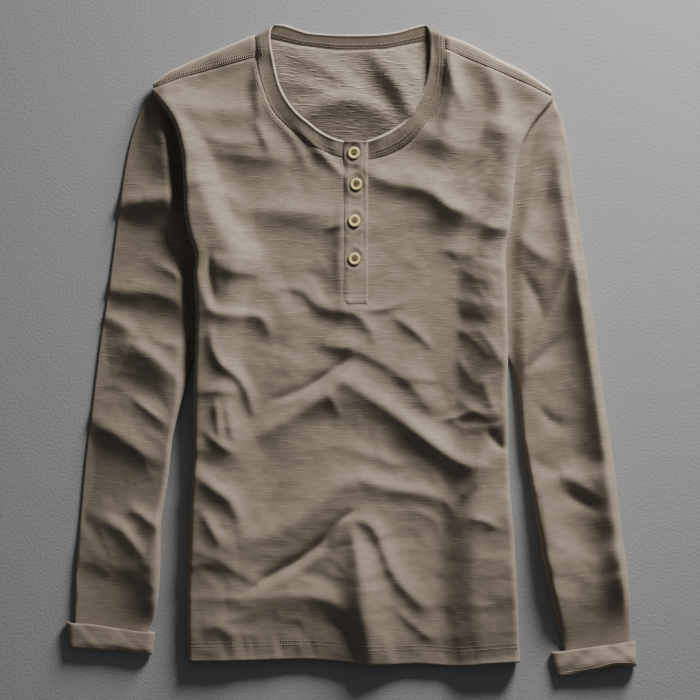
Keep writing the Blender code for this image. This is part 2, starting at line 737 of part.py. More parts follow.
def add_cuff(name, cuff, collection):
    """The cuff: a ring of U section, its outer wall outside the sleeve's end."""
    rows = []
    width = math.dist(cuff.top_outer, cuff.top_inner)
    for step in CUFF_SECTION:
        outer = [mix(a, b, step.drop) for a, b in zip(cuff.top_outer, cuff.bottom_outer)]
        inner = [mix(a, b, step.drop) for a, b in zip(cuff.top_inner, cuff.bottom_inner)]
        share = step.inset * CUFF_SIDE_DEEP / width
        start = [mix(a, b, share) for a, b in zip(outer, inner)]
        end = [mix(b, a, share) for a, b in zip(outer, inner)]
        low, high = cuff_level(cuff, step.inset)
        rows.append(ring_points(across_points(start, end), low, lambda x, y, high=high: high))
    add_sheet(name, rows, collection, "slub_jersey", ring=True)


# ---------------------------------------------------------------- neckband, plackets, buttons
def add_neckband(collection):
    """The neckband: outer face up in front, folded at each neck point, inner face up behind."""
    rows = []
    for row in NECKBAND:
        length = math.hypot(row.free_x - row.seam_x, row.free_y - row.seam_y)
        inward = SEAM_GAP / length
        points = []
        seam_y = row.seam_y if row.over > 0.5 else line_y(BACK_TOP, row.seam_x) + SEAM_GAP
        for s, crown in ((inward, 0.0), (0.5, BAND_CROWN), (1.0, 0.0)):
            x, y = mix(row.seam_x, row.free_x, s), mix(seam_y, row.free_y, s)
            beside_placket = PLACKET_X[0] < x < PLACKET_X[2]
            front = placket_z(x, y) if beside_placket else front_z(x, y) + crown
            points.append((x, y, mix(BAND_BACK_LEVEL + crown, front, row.over)))
        rows.append(points)
    add_sheet("neckband", rows, collection, "neck_rib")


def add_placket(name, across, along, lift, collection):
    """A placket strip, made from the front panel's own points and moved along Z."""
    first = len(NOSE_TURN) + len(FRONT_SPREAD)
    low, high = along[0] + PLACKET_END_CLEAR, along[1] - PLACKET_END_CLEAR
    heights = [row[first][1] for row in FRONT_GRID if low < row[first][1] < high]
    rows = []
    for y in [along[0], *heights, along[1]]:
        rows.append([(x, y, placket_z(x, y) + lift) for x in across])
    add_sheet(name, rows, collection, "placket_cloth")


BUTTON_PROFILE = (
    (0.0, 1.7),
    (3.7, 1.7),
    (4.6, 2.4),
    (5.7, 2.8),
    (6.7, 2.4),
    (7.0, 1.5),
    (6.5, 0.3),
    (5.4, 0.0),
    (0.0, 0.0),
)


def button_mesh():
    """A dished button turned about Z: profile as radius and height."""
    mesh = bpy.data.meshes.new("button")
    points = [(radius * MM, 0.0, height * MM) for radius, height in BUTTON_PROFILE]
    mesh.from_pydata(points, [(i, i + 1) for i in range(len(points) - 1)], [])
    return mesh


def circle(x, y, radius, sides):
    """Corners of a regular polygon round (x, y)."""
    turns = [2.0 * math.pi * k / sides for k in range(sides)]
    return [(x + radius * math.cos(turn), y + radius * math.sin(turn)) for turn in turns]


def add_buttons(collection, cutters):
    """Four buttons seated on the upper placket, each with its four holes."""
    for number, place in enumerate(BUTTONS, start=1):
        seat = max(placket_z(x, y) for x, y in circle(place.x, place.y, BUTTON_RADIUS, 8) + [place])
        seat += PLACKET_PITCH + 0.5 * WALL + SEAM_GAP
        name = f"button_{number}"
        button = add_object(name, button_mesh(), collection, "button_horn")
        button.location = (place.x * MM, place.y * MM, seat * MM)
        turn = button.modifiers.new("Turned about Z", "SCREW")
        turn.axis = "Z"
        turn.steps = BUTTON_SIDES
        turn.render_steps = BUTTON_SIDES
        turn.use_merge_vertices = True
        turn.merge_threshold = 0.00001
        turn.use_smooth_shade = True
        for hole in range(4):
            angle = math.radians(45 + 90 * hole)
            x = place.x + BUTTON_HOLE_SPREAD * math.cos(angle)
            y = place.y + BUTTON_HOLE_SPREAD * math.sin(angle)
            outline = circle(x, y, BUTTON_HOLE_RADIUS, HOLE_SIDES)
            low, high = (seat + reach for reach in DRILL_REACH)
            cut(button, add_prism(f"{name}_drill_{hole + 1}", outline, low, high, cutters))


# ---------------------------------------------------------------- the garment
def main():
    for obj in list(bpy.data.objects):
        bpy.data.objects.remove(obj)
    garment = bpy.data.collections.new("long_sleeve_henley")
    cutters = bpy.data.collections.new("cutters")
    bpy.context.scene.collection.children.link(garment)
    bpy.context.scene.collection.children.link(cutters)
    add_front(garment, cutters)
    add_sheet("back_body", back_rows(), garment, "jersey_reverse", keep=back_cell)
    add_sleeve("sleeve_right", RIGHT_SLEEVE, RIGHT_SLEEVE_FOLDS, RIGHT_CUFF, garment)
    add_sleeve("sleeve_left", LEFT_SLEEVE, LEFT_SLEEVE_FOLDS, LEFT_CUFF, garment)
    add_cuff("cuff_right", RIGHT_CUFF, garment)
    add_cuff("cuff_left", LEFT_CUFF, garment)
    add_neckband(garment)
    add_placket("placket_upper", PLACKET_X, PLACKET_Y, PLACKET_PITCH, garment)
    add_placket("placket_under", UNDER_X, UNDER_Y, -PLACKET_PITCH, garment)
    add_buttons(garment, cutters)


FRONT_GRID = front_rows()
main()
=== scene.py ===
import math
from collections import namedtuple

import bmesh
import bpy
import numpy as np
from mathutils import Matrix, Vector


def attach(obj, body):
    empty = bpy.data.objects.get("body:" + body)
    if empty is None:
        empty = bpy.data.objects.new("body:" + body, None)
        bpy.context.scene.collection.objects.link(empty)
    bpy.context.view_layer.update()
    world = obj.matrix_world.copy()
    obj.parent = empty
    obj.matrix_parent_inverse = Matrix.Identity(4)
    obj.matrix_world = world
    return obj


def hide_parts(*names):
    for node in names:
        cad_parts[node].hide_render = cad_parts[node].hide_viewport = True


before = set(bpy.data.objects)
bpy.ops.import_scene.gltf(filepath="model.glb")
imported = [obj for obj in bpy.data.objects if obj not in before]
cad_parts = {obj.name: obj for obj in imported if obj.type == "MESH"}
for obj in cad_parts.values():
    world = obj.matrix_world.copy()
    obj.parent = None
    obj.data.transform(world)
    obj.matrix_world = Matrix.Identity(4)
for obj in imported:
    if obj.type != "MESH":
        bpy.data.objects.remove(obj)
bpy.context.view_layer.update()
mm = 0.001  # every size and table below is in millimetres
print("frame loaded:", len(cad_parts), "nodes")


def ease(low, high, value):
    # 0 up to low and 1 from high, smooth between them; it falls where low is the greater
    t = np.clip((value - low) / (high - low), 0.0, 1.0)
    return t * t * (3.0 - 2.0 * t)


def mix(a, b, t):
    return a + (b - a) * t


def through(points, parts):
    # a smooth curve through every point, with that many steps from each to the next
    p = np.array(points, float)
    before = np.vstack([p[:1], p[:-2]])
    after = np.vstack([p[2:], p[-1:]])
    t = np.linspace(0.0, 1.0, parts, endpoint=False)[:, None]
    pieces = []
    for a, b, c, d in zip(before, p[:-1], p[1:], after):
        bent = (2 * a - 5 * b + 4 * c - d) * t ** 2 + (3 * b - a - 3 * c + d) * t ** 3
        pieces.append(0.5 * (2 * b + (c - a) * t + bent))
    return np.vstack(pieces + [p[-1:]])


def curveAt(line, column, where):
    # smooth value of one column of a table at a place along its first column
    xs = np.array([row[0] for row in line], float)
    ys = np.array([row[column] for row in line], float)
    rise = np.diff(ys) / np.diff(xs)
    slope = np.concatenate([rise[:1], 0.5 * (rise[1:] + rise[:-1]), rise[-1:]])
    i = np.clip(np.searchsorted(xs, where) - 1, 0, len(xs) - 2)
    h = xs[i + 1] - xs[i]
    t = np.clip((where - xs[i]) / h, 0.0, 1.0)
    a = (1 + 2 * t) * (1 - t) ** 2 * ys[i] + t * (1 - t) ** 2 * h * slope[i]
    return a + t * t * (3 - 2 * t) * ys[i + 1] + t * t * (t - 1) * h * slope[i + 1]


def lineAt(line, where):
    return np.interp(where, [row[0] for row in line], [row[1] for row in line])


def fromRun(x, y, a, b):
    # offset of points from the straight run a to b, and the share of it at their nearest spot
    d = b - a
    t = np.clip(((x - a[0]) * d[0] + (y - a[1]) * d[1]) / (d @ d), 0.0, 1.0)
    return x - a[0] - t * d[0], y - a[1] - t * d[1], t


def addObject(name, data):
    obj = bpy.data.objects.new(name, data)
    bpy.context.scene.collection.objects.link(obj)
    return obj


def closedMesh(name, form):
    # a mesh with its faces outwards, from a bmesh that is done with
    bmesh.ops.recalc_face_normals(form, faces=form.faces)
    mesh = bpy.data.meshes.new(name)
    form.to_mesh(mesh)
    form.free()
    return mesh


noise = {"cells": 97, "origin": (41.0, 43.0)}  # random values each way, and which is at the origin


def lumps(x, y, size, seed):
    # smooth random field from -1 to 1, with features of that size each way
    cells = noise["cells"]
    grid = np.random.default_rng(seed).uniform(-1.0, 1.0, (cells, cells))
    u, v = x / size[0] + noise["origin"][0], y / size[1] + noise["origin"][1]
    i, j = np.floor(u).astype(int), np.floor(v).astype(int)
    s, t = ease(0.0, 1.0, u - i), ease(0.0, 1.0, v - j)

    def corner(right, up):
        return grid[(i + right) % cells, (j + up) % cells]

    return mix(mix(corner(0, 0), corner(1, 0), s), mix(corner(0, 1), corner(1, 1), s), t)


light = {
    "turn": 60, "rise": 19, "away": 1.85, "width": 0.74, "power": 25.8, "beam": 100,
    "aim": (0.17, 0.07), "colour": (1.0, 0.975, 0.94), "fill": 0.10,
}
towardsLight = (math.cos(math.radians(light["turn"])), math.sin(math.radians(light["turn"])))

# What smoothing by hand leaves in thin jersey: heights and sizes of its facets.
facets = {"sizes": [(1.9, (62, 40)), (0.8, (26, 17)), (0.22, (9, 7))],
          "bendX": (18.0, (75, 60)), "bendY": (14.0, (60, 75)), "slant": 0.35, "level": 0.35,
          "swing": 0.45, "ridge": 0.08}


def crumple(x, y, seed):
    # soft facets of three sizes, met in faint ridges
    px = x + facets["bendX"][0] * lumps(x, y, facets["bendX"][1], seed)
    py = y + facets["bendY"][0] * lumps(x, y, facets["bendY"][1], seed + 1)
    total = 0.0
    for number, (height, size) in enumerate(facets["sizes"]):
        n = lumps(px + facets["slant"] * py, py, size, seed + 2 + number)
        total = total + height * (facets["level"] + facets["swing"] * n - np.hypot(n, facets["ridge"]))
    return total


# One fold: the height of its crest (+) or floor (-), its half widths on the side of the light and
# on the shaded side, and the points that it runs through.
Fold = namedtuple("Fold", "height lit shade path")
# What all folds share: depth of each, how round its crest is and how far it reaches in half widths,
# and how it fades at its ends.
foldForm = {"depth": 1.55, "crest": 0.42, "fall": 1.5, "reach": 2.7, "parts": 7, "ends": (0.1, 0.9),
            "fade": 0.8}


def foldHeight(folds, x, y):
    total = np.zeros(np.shape(x))
    crest = foldForm["crest"]
    for one in folds:
        line = through(one.path, foldForm["parts"])
        reach = foldForm["reach"] * max(one.lit, one.shade)
        inBox = (x > line[:, 0].min() - reach) & (x < line[:, 0].max() + reach)
        inBox &= (y > line[:, 1].min() - reach) & (y < line[:, 1].max() + reach)
        if not inBox.any():
            continue
        px, py = x[inBox], y[inBox]
        best = np.full(px.shape, 1e9)
        offX, offY, along = np.zeros(px.shape), np.zeros(px.shape), np.zeros(px.shape)
        for k, (a, b) in enumerate(zip(line[:-1], line[1:])):
            ox, oy, t = fromRun(px, py, a, b)
            apart = ox * ox + oy * oy
            near = apart < best
            best, along = np.where(near, apart, best), np.where(near, k + t, along)
            offX, offY = np.where(near, ox, offX), np.where(near, oy, offY)
        gap = np.sqrt(best)
        facing = (offX * towardsLight[0] + offY * towardsLight[1]) / np.maximum(gap, 1e-6)
        width = mix(one.shade, one.lit, 0.5 + 0.5 * facing)
        fade = np.sin(math.pi * mix(*foldForm["ends"], along / (len(line) - 1))) ** foldForm["fade"]
        section = np.exp(-foldForm["fall"] * (np.hypot(gap / width, crest) - crest))
        total[inBox] += foldForm["depth"] * one.height * fade * section
    return total


# The body's layers: heights above the table, distances in from the side folds and down from the
# shoulders, and spans of y where one form passes into the next.
body = {
    "ground": 0.5, "pitch": 1.5, "level": 6.0, "nose": 5.0, "foldTop": 240.0, "length": 620.0,
    "backInset": 7.0, "backNose": 0.85, "backRest": 10.0, "backSlope": 46.0, "frontSpare": 10.0,
    "sleeveHidden": 2.0, "overSleeve": (-75.0, -12.0), "stackEnd": (246.0, 276.0),
    "shoulderRise": 4.6, "shoulderSpread": (9.0, 52.0), "shoulderEnd": (0.0, 30.0),
    "stripSpread": (6.0, 36.0), "stripInside": (20.0, 50.0), "stripLeft": 0.55, "creaseRoom": 1.2,
    "creasedX": (78.0, 108.0), "creasedFoot": (-130.0, -60.0), "creasedTop": (135.0, 95.0),
    "creasedMore": 0.9, "rimBlend": 2.0, "restBlend": 1.2, "seed": 5,
}
tucked = body["pitch"] + 2 * body["backNose"]
sleeveLift = body["sleeveHidden"] + body["pitch"]

# Side folds from hem to shoulder point: y, x, how far the cloth is tucked under, rise of the rim.
rightSide = [
    (-332, -175, 75, 7), (-283, -175.5, 75, 8), (-240, -175, 75, 8), (-207, -173, 75, 10),
    (-160, -172, 75, 10), (-114, -169, 75, 11), (-80, -169, 75, 11), (4, -167, 75, 12),
    (30, -166, 75, 12), (45, -166, 66, 12), (82, -168, 40, 12), (106, -167, 33, 12),
    (127, -173.5, 26, 12), (147, -177.5, 20, 12), (180, -179, 11, 11), (219, -182, 5, 9),
    (247, -190, 2, 4), (284, -214, 0, 0),
]
leftSide = [
    (-332, 179, 75, 7), (-286, 177, 75, 9), (-264, 176, 75, 10), (-210, 173, 75, 11),
    (-169, 170, 75, 12), (-128, 167, 75, 12), (-72, 166, 75, 12), (-34, 165, 75, 12),
    (12, 166, 75, 12), (30, 165, 75, 12), (49, 165, 66, 12), (86, 164, 40, 12),
    (119, 164, 28, 12), (141, 169, 21, 12), (178, 172.5, 11, 11), (211, 176, 5, 9),
    (244, 190, 2, 4), (276, 216, 0, 0),
]
hemLine = [(-175, -331.6), (-120, -331), (-41, -330), (-10, -332.4), (19, -335), (78, -335),
           (110, -337), (145, -334), (179, -332)]
shoulderSeam = [(-214, 279), (-179, 292), (-144, 302), (-102, 314), (100, 322), (127, 310),
                (155, 298.5), (188, 284), (216, 270.5)]
backTop = [(-214, 284), (-196, 298), (-168, 311), (-130, 327), (-103.5, 338), (-58, 327),
           (-16, 321.8), (34, 322.4), (76, 331), (99.7, 337.5), (121, 330), (154, 313),
           (181, 300), (203, 286), (216, 276)]

frontFolds = [
    # from below the placket to the left side: the long roll, its slopes, its hook and its creases
    Fold(5.6, 15, 15, [(-4, -34), (20, -50), (45, -68), (70, -86), (95, -105), (118, -120),
                       (138, -122)]),
    Fold(1.8, 12, 11, [(52, -74), (84, -97), (112, -117), (130, -122)]),
    Fold(3.8, 24, 10, [(-8, 4), (20, -4), (46, -20), (68, -40), (84, -62)]),
    Fold(1.9, 8, 4, [(46, 36), (68, 20), (88, 0)]),
    Fold(3.2, 10, 6, [(140, -116), (130, -138), (118, -156)]),
    Fold(1.5, 4, 4, [(96, -74), (112, -70), (130, -64)]),
    # the arch below it, and the soft fold between them
    Fold(4.4, 11, 19, [(-10, -142), (12, -138), (34, -144), (60, -150), (84, -154), (102, -164)]),
    Fold(2.2, 14, 12, [(0, -106), (28, -114), (56, -128)]),
    # folds that spread from the middle down to the hem, and one at the left side
    Fold(4.6, 14, 8, [(2, -178), (22, -188), (34, -212), (47, -242), (74, -272)]),
    Fold(3.2, 10, 8, [(0, -190), (6, -218), (11, -248)]),
    Fold(12.4, 40, 17, [(2, -206), (9, -256), (16, -300), (22, -342)]),
    Fold(1.2, 6, 4, [(48, -276), (60, -288), (72, -298), (84, -308)]),
    Fold(2.0, 6, 6, [(126, -178), (140, -180), (152, -186)]),
    # the broad swell at the lower right, and the pocket in the shape of a V under it
    Fold(5.6, 17, 34, [(-124, -204), (-92, -198), (-58, -182), (-24, -156), (2, -136)]),
    Fold(-4.6, 6, 6, [(2, -172), (-14, -182), (-30, -202), (-56, -222), (-84, -238), (-104, -252)]),
    Fold(2.6, 6, 8, [(-2, -178), (-14, -188), (-22, -204)]),
    Fold(1.3, 5, 9, [(0, -186), (-22, -210), (-58, -236), (-98, -258)]),
    Fold(2.0, 14, 8, [(-98, -250), (-122, -235), (-146, -220), (-170, -212)]),
    # short creases one above the other down the right side
    Fold(4.6, 10, 11, [(-160, -134), (-146, -146), (-128, -162), (-120, -184)]),
    Fold(3.0, 8, 7, [(-158, -172), (-150, -188), (-140, -206)]),
    Fold(1.0, 8, 6, [(-176, -228), (-160, -227), (-146, -228)]),
    Fold(2.6, 7, 5, [(-154, -88), (-143, -98), (-128, -108)]),
    # the step above the hem on the right, and the hollow at its end
    Fold(5.0, 36, 36, [(-134, -266), (-100, -264), (-58, -262), (-24, -268), (2, -282)]),
    Fold(0.8, 4, 7, [(-168, -263), (-120, -263), (-58, -260), (-22, -266)]),
    Fold(1.6, 12, 10, [(-44, -258), (-24, -266), (-4, -280)]),
    Fold(-2.2, 9, 9, [(-22, -290), (-6, -298), (2, -316), (2, -336)]),
    Fold(2.4, 14, 12, [(-160, -296), (-138, -294), (-124, -306)]),
    # soft S at the right side under the chest, and the creases below it
    Fold(3.6, 5, 13, [(-166, 84), (-160, 66), (-152, 48), (-142, 41), (-120, 39), (-100, 38),
                      (-92, 30), (-88, 18)]),
    Fold(-2.6, 4, 5, [(-152, 102), (-150, 78), (-147, 54)]),
    Fold(4.4, 7, 7, [(-150, 22), (-147, 2), (-138, -14), (-122, -27), (-112, -44), (-106, -66)]),
    Fold(2.6, 12, 7, [(-164, -44), (-144, -42), (-124, -44)]),
    Fold(2.6, 5, 5, [(-145, -54), (-143, -72), (-141, -92)]),
    Fold(2.5, 8, 5, [(-133, -56), (-130, -76), (-127, -94)]),
    # the line from under the placket to the right, with the slope below it
    Fold(-3.8, 5, 5, [(-8, -9), (-26, -24), (-46, -38), (-64, -46), (-82, -52)]),
    Fold(5.4, 12, 18, [(-4, -28), (-34, -50), (-60, -68), (-104, -92)]),
    # short creases round the foot of the placket and below it
    Fold(1.6, 8, 5, [(-84, 64), (-68, 67), (-50, 62), (-38, 48), (-22, 40)]),
    Fold(2.8, 8, 9, [(-36, 52), (-18, 44), (2, 40), (16, 28), (24, 8)]),
    Fold(1.5, 5, 5, [(-2, 50), (16, 44), (36, 46), (56, 52)]),
    Fold(2.7, 14, 8, [(-34, 8), (-14, 4), (4, 6)]),
    Fold(1.4, 6, 6, [(-26, -44), (-20, -56), (-14, -68)]),
    # right of the chest, from the shoulder and the neck down
    Fold(5.6, 20, 24, [(-204, 264), (-176, 262), (-150, 257), (-126, 255), (-106, 258)]),
    Fold(2.1, 12, 8, [(-170, 236), (-146, 226), (-120, 222), (-98, 224)]),
    Fold(3.2, 18, 14, [(-156, 216), (-122, 210), (-96, 209), (-66, 203)]),
    Fold(1.6, 8, 4, [(-170, 179), (-158, 181), (-145, 184)]),
    Fold(6.0, 17, 9, [(-204, 284), (-196, 254), (-187, 222), (-180, 182)]),
    Fold(2.8, 8, 8, [(-97, 314), (-101, 286), (-100, 254)]),
    Fold(2.4, 10, 5, [(-103, 246), (-96, 230), (-88, 214)]),
    Fold(3.2, 7, 14, [(-100, 300), (-94, 276), (-86, 256), (-72, 238)]),
    Fold(2.0, 10, 6, [(-72, 238), (-58, 218), (-48, 196)]),
    Fold(3.0, 6, 6, [(-56, 236), (-38, 217), (-23, 201), (-8, 186)]),
    Fold(3.8, 12, 22, [(-104, 150), (-70, 149), (-42, 148), (-20, 146)]),
    Fold(1.6, 4, 4, [(-26, 131), (-16, 134), (-9, 137)]),
    Fold(3.2, 14, 7, [(-9, 156), (-12, 122), (-13, 90), (-10, 44)]),
    Fold(2.6, 14, 9, [(-142, 92), (-122, 84), (-98, 84)]),
    # left of the chest, from the neck down to the side
    Fold(5.2, 12, 12, [(104, 312), (106, 282), (103, 250), (97, 228)]),
    Fold(3.6, 16, 22, [(72, 240), (90, 228), (112, 218), (134, 212)]),
    Fold(3.6, 15, 11, [(6, 200), (34, 182), (60, 176), (84, 171)]),
    Fold(5.6, 17, 15, [(74, 176), (92, 164), (104, 153), (126, 147)]),
    Fold(2.2, 8, 12, [(96, 160), (110, 152), (124, 148)]),
    Fold(5.2, 13, 26, [(143, 244), (158, 238), (180, 232)]),
    Fold(4.0, 8, 7, [(101, 320), (107, 292), (116, 264)]),
    Fold(4.4, 10, 19, [(143, 302), (155, 280), (161, 256), (158, 238)]),
    Fold(2.4, 7, 8, [(140, 134), (151, 131), (164, 131)]),
    Fold(2.4, 14, 11, [(92, 108), (112, 106), (134, 104)]),
    # the long hollow inside the rim of the left side
    Fold(-3.4, 20, 18, [(100, 118), (94, 70), (98, 20), (94, -20), (102, -60)]),
    # two creases across the rim of the right side
    Fold(1.6, 8, 8, [(-150, 172), (-134, 166), (-120, 156)]),
    Fold(1.4, 7, 7, [(-140, 136), (-124, 128), (-108, 122)]),
    # creases across the rim of the left side
    Fold(1.4, 8, 11, [(99, 60), (134, 50), (162, 46)]),
    Fold(1.5, 6, 6, [(136, 22), (150, 4), (162, -16)]),
    Fold(1.3, 8, 7, [(90, 38), (130, 12), (148, -8)]),
    Fold(1.0, 7, 8, [(113, 86), (124, 82), (140, 74)]),
    Fold(1.4, 7, 7, [(119, -6), (116, -12), (130, -34)]),
    Fold(1.0, 6, 6, [(112, -50), (134, -66), (150, -72)]),
    Fold(1.8, 8, 8, [(138, -30), (146, -52), (156, -74)]),
    Fold(-3.0, 6, 6, [(146, -86), (154, -97), (162, -106)]),
]
# short puckers along the hem: x, height
hemPuckers = [(-136, -0.8), (-126, 0.7), (-115, -0.9), (-105, -0.7), (-84, 0.8), (-76, -0.8),
              (-56, 0.7), (-43, -0.8), (98, -0.7), (116, 0.6), (129, -0.6), (36, 0.7), (46, -0.6)]
frontFolds += [Fold(0.7 * height, 4, 4, [(x - 3, -303), (x, -317), (x + 3, -331)])
               for x, height in hemPuckers]
# fine stretch lines that rise towards the left armhole, one below the other
for step in range(7):
    drop = 9 * step
    frontFolds.append(Fold(0.5, 2.5, 2.5, [(112 + 3 * step, 190 - drop), (140 + 2 * step, 206 - drop),
                                           (170, 226 - drop)]))
print("folds of the front:", len(frontFolds))

# The raised rim at each side: y, where the slope inside it starts and ends, in from the side, and
# how full it is.
rightRim = [(-340, 26, 100, 0.9), (-200, 26, 104, 0.9), (-120, 24, 90, 1.0), (-60, 24, 66, 1.15),
            (20, 26, 66, 1.15), (70, 34, 72, 1.3), (95, 38, 82, 1.6), (140, 26, 60, 1.7),
            (190, 12, 46, 1.7), (250, 2, 32, 1.6), (300, 2, 30, 1.5)]
leftRim = [(-340, 38, 86, 1.6), (-180, 36, 84, 1.5), (-130, 24, 72, 1.15), (-70, 13, 66, 1.45),
           (60, 12, 68, 1.5), (130, 8, 52, 1.3), (180, 6, 40, 1.0), (300, 4, 30, 1.0)]


def columnsOf(rightTable, leftTable, x, y):
    # the three columns of a side's table at y, each from the table of the side that x is on
    return [np.where(x < 0, curveAt(rightTable, column, y), curveAt(leftTable, column, y))
            for column in (1, 2, 3)]


def sideOf(x, y):
    # how far in from the nearer side fold, how deep the tuck is there, and how high its rim
    edgeX, tuck, rise = columnsOf(rightSide, leftSide, x, y)
    return np.where(x < 0, x - edgeX, edgeX - x), np.maximum(tuck, 0.0), np.maximum(rise, 0.0)


def overSleeve(y):
    return ease(*body["overSleeve"], y)


def tuckZ(y):
    return body["ground"] + sleeveLift * overSleeve(y)


def backZ(x, y, spare=0.0):
    # the back lies on the table, and over the folded layers at the sides
    inside, tuck, _ = sideOf(x, y)
    level = tuck + body["backRest"] + spare
    stacked = 1.0 - ease(level, level + body["backSlope"], inside)
    layers = tucked * (1.0 - ease(*body["stackEnd"], y))
    return body["ground"] + stacked * (layers + sleeveLift * overSleeve(y))


def frontZ(x, y):
    # the front's height: the rims at its sides, the fold over the shoulders, then its own folds
    inside, _, rise = sideOf(x, y)
    near, deep, full = columnsOf(rightRim, leftRim, x, y)
    rim = full * rise * (1.0 - ease(near, deep, inside))
    fromTop = lineAt(backTop, x) - y
    soft = 1.0 - ease(*body["shoulderSpread"], fromTop)
    steep = 1.0 - ease(*body["stripSpread"], fromTop)
    onStrip = ease(*body["stripInside"], inside) * np.where(x < 0, 1.0, body["stripLeft"])
    shoulder = body["shoulderRise"] * mix(soft, steep, onStrip) * ease(*body["shoulderEnd"], inside)
    creased = ease(*body["creasedX"], x) * ease(*body["creasedFoot"], y) * ease(*body["creasedTop"], y)
    small = (1.0 + body["creasedMore"] * creased) * crumple(x, y, body["seed"])
    lowest = backZ(x, y, body["frontSpare"]) + body["pitch"]
    stacked = lowest + body["creaseRoom"] - body["level"]  # the layers folded under lift it too
    raised = 0.5 * (rim + stacked + np.hypot(rim - stacked, body["rimBlend"]))
    height = body["level"] + np.maximum(raised, 0.0) + shoulder + foldHeight(frontFolds, x, y) + small
    return lowest + 0.5 * (height - lowest + np.hypot(height - lowest, body["restBlend"]))


def foldY(v, side):
    # v is 0 at the hem and 1 at the front shoulder seam
    return mix(side[0][0], side[-1][0], v)


def foldX(v, side):
    return curveAt(side, 1, foldY(v, side))


def acrossTable(table, v, x):
    # the place along a table's first column, for x between the side folds
    share = (x - foldX(v, rightSide)) / (foldX(v, leftSide) - foldX(v, rightSide))
    return mix(table[0][0], table[-1][0], share)


def rowY(v, x):
    hem = curveAt(hemLine, 1, acrossTable(hemLine, v, x))
    seam = lineAt(shoulderSeam, acrossTable(shoulderSeam, v, x))
    return mix(hem, seam, v)


def backRowY(v, x):
    across = acrossTable(backTop, v, x)
    return rowY(v, x) + (lineAt(backTop, across) - lineAt(shoulderSeam, across)) * ease(0.6, 1.0, v)


def makeSheet(name, x, y, z, u, v, ring=False, keep=None, flip=False, wall=1.0, heft=None):
    # the cloth that stands for a node: a grid of points in millimetres, thickened to a closed wall;
    # u and v are sizes on the cut
    rows, columns = x.shape
    spans = columns if ring else columns - 1
    i, j = np.meshgrid(np.arange(rows - 1), np.arange(spans), indexing="ij")
    if keep is not None:
        i, j = i[keep], j[keep]
    i, j = i.ravel(), j.ravel()
    k = (j + 1) % columns
    quads = np.stack([i * columns + j, i * columns + k, (i + 1) * columns + k, (i + 1) * columns + j], -1)
    corners = np.stack([i, i, i + 1, i + 1], -1), np.stack([j, j + 1, j + 1, j], -1)
    if flip:
        quads, corners = quads[:, ::-1], (corners[0][:, ::-1], corners[1][:, ::-1])
    used, index = np.unique(quads, return_inverse=True)
    points = np.stack([x, y, z], -1).reshape(-1, 3)[used] * mm
    mesh = bpy.data.meshes.new(name)
    mesh.from_pydata(points.tolist(), [], index.reshape(-1, 4).tolist())
    cut = np.stack([u[corners], v[corners]], -1).reshape(-1, 2) * mm
    mesh.uv_layers.new(name="Cut").uv.foreach_set("vector", cut.astype(np.float32).ravel())
    mesh.shade_smooth()
    obj = addObject(name + "_cloth", mesh)
    solid = obj.modifiers.new("Wall", "SOLIDIFY")
    solid.thickness = wall * mm
    solid.offset = 0.0
    solid.use_even_offset = True
    solid.use_quality_normals = True
    if heft is not None:  # share of the full wall at each point
        group = obj.vertex_groups.new(name="Heft")
        for number, share in enumerate(heft.ravel()[used]):
            group.add([number], float(share), "REPLACE")
        solid.vertex_group = group.name
    return obj


def arcAcross(x, y, z, start):
    # distance along each row of a grid, measured from one column
    step = np.sqrt(np.diff(x, axis=1) ** 2 + np.diff(y, axis=1) ** 2 + np.diff(z, axis=1) ** 2)
    along = np.concatenate([np.zeros((len(x), 1)), np.cumsum(step, axis=1)], axis=1)
    return along - along[:, start:start + 1]


# The neckband: x and y of its seam and of its free edge, and 1 where it lies on the front, 0 where
# it lies behind the neck.
bandTable = [
    (-5, 206.5, -5, 223.6, 1), (-24, 211.5, -20, 227.5, 1), (-42, 220, -33, 234, 1),
    (-57, 230.5, -46, 244, 1), (-72, 243, -58, 254, 1), (-84, 257, -68.5, 267, 1),
    (-92, 275, -76, 281, 1), (-98, 295, -81, 298, 1), (-101.5, 315, -84.5, 316, 1),
    (-102.6, 329, -87, 332, 1), (-102.6, 335.5, -86.5, 342, 0.98), (-102, 338, -84, 347.2, 0.5),
    (-99.5, 338, -79, 349.5, 0.1), (-92, 336.2, -70, 348.5, 0), (-76, 332.4, -58, 344.5, 0),
    (-58, 328.4, -47, 341, 0), (-38, 325.4, -33, 339.6, 0), (-16, 322.8, -14, 338.6, 0),
    (10, 322.3, 10, 338.4, 0), (34, 323.8, 32, 339.4, 0), (56, 327.3, 50, 342, 0),
    (76, 332.4, 63, 346, 0), (90, 336, 72, 348.5, 0), (96, 337.5, 77, 349, 0.1),
    (98.2, 338, 80, 346.6, 0.5), (98.8, 334.5, 82, 341, 0.98), (98.8, 325, 83.5, 330, 1),
    (98.8, 310, 83.5, 312, 1), (97.5, 292, 81, 295, 1), (93.5, 273, 75.5, 277, 1),
    (84.5, 253, 67, 261.5, 1), (72, 235.5, 57.5, 247, 1), (59, 222, 46, 238, 1),
    (43, 212.5, 34, 231.5, 1), (26, 207, 22, 226.5, 1), (13, 204.5, 13, 224, 1),
]
bandTurn = next(n for n, row in enumerate(bandTable) if row[4] < 0.9)  # where it turns over
bandReturn = next(n for n in range(len(bandTable) - 1, 0, -1) if bandTable[n][4] < 0.9) + 1


neckArcs = [through([row[:2] for row in part], 6)
            for part in (bandTable[:bandTurn], bandTable[bandReturn:])]
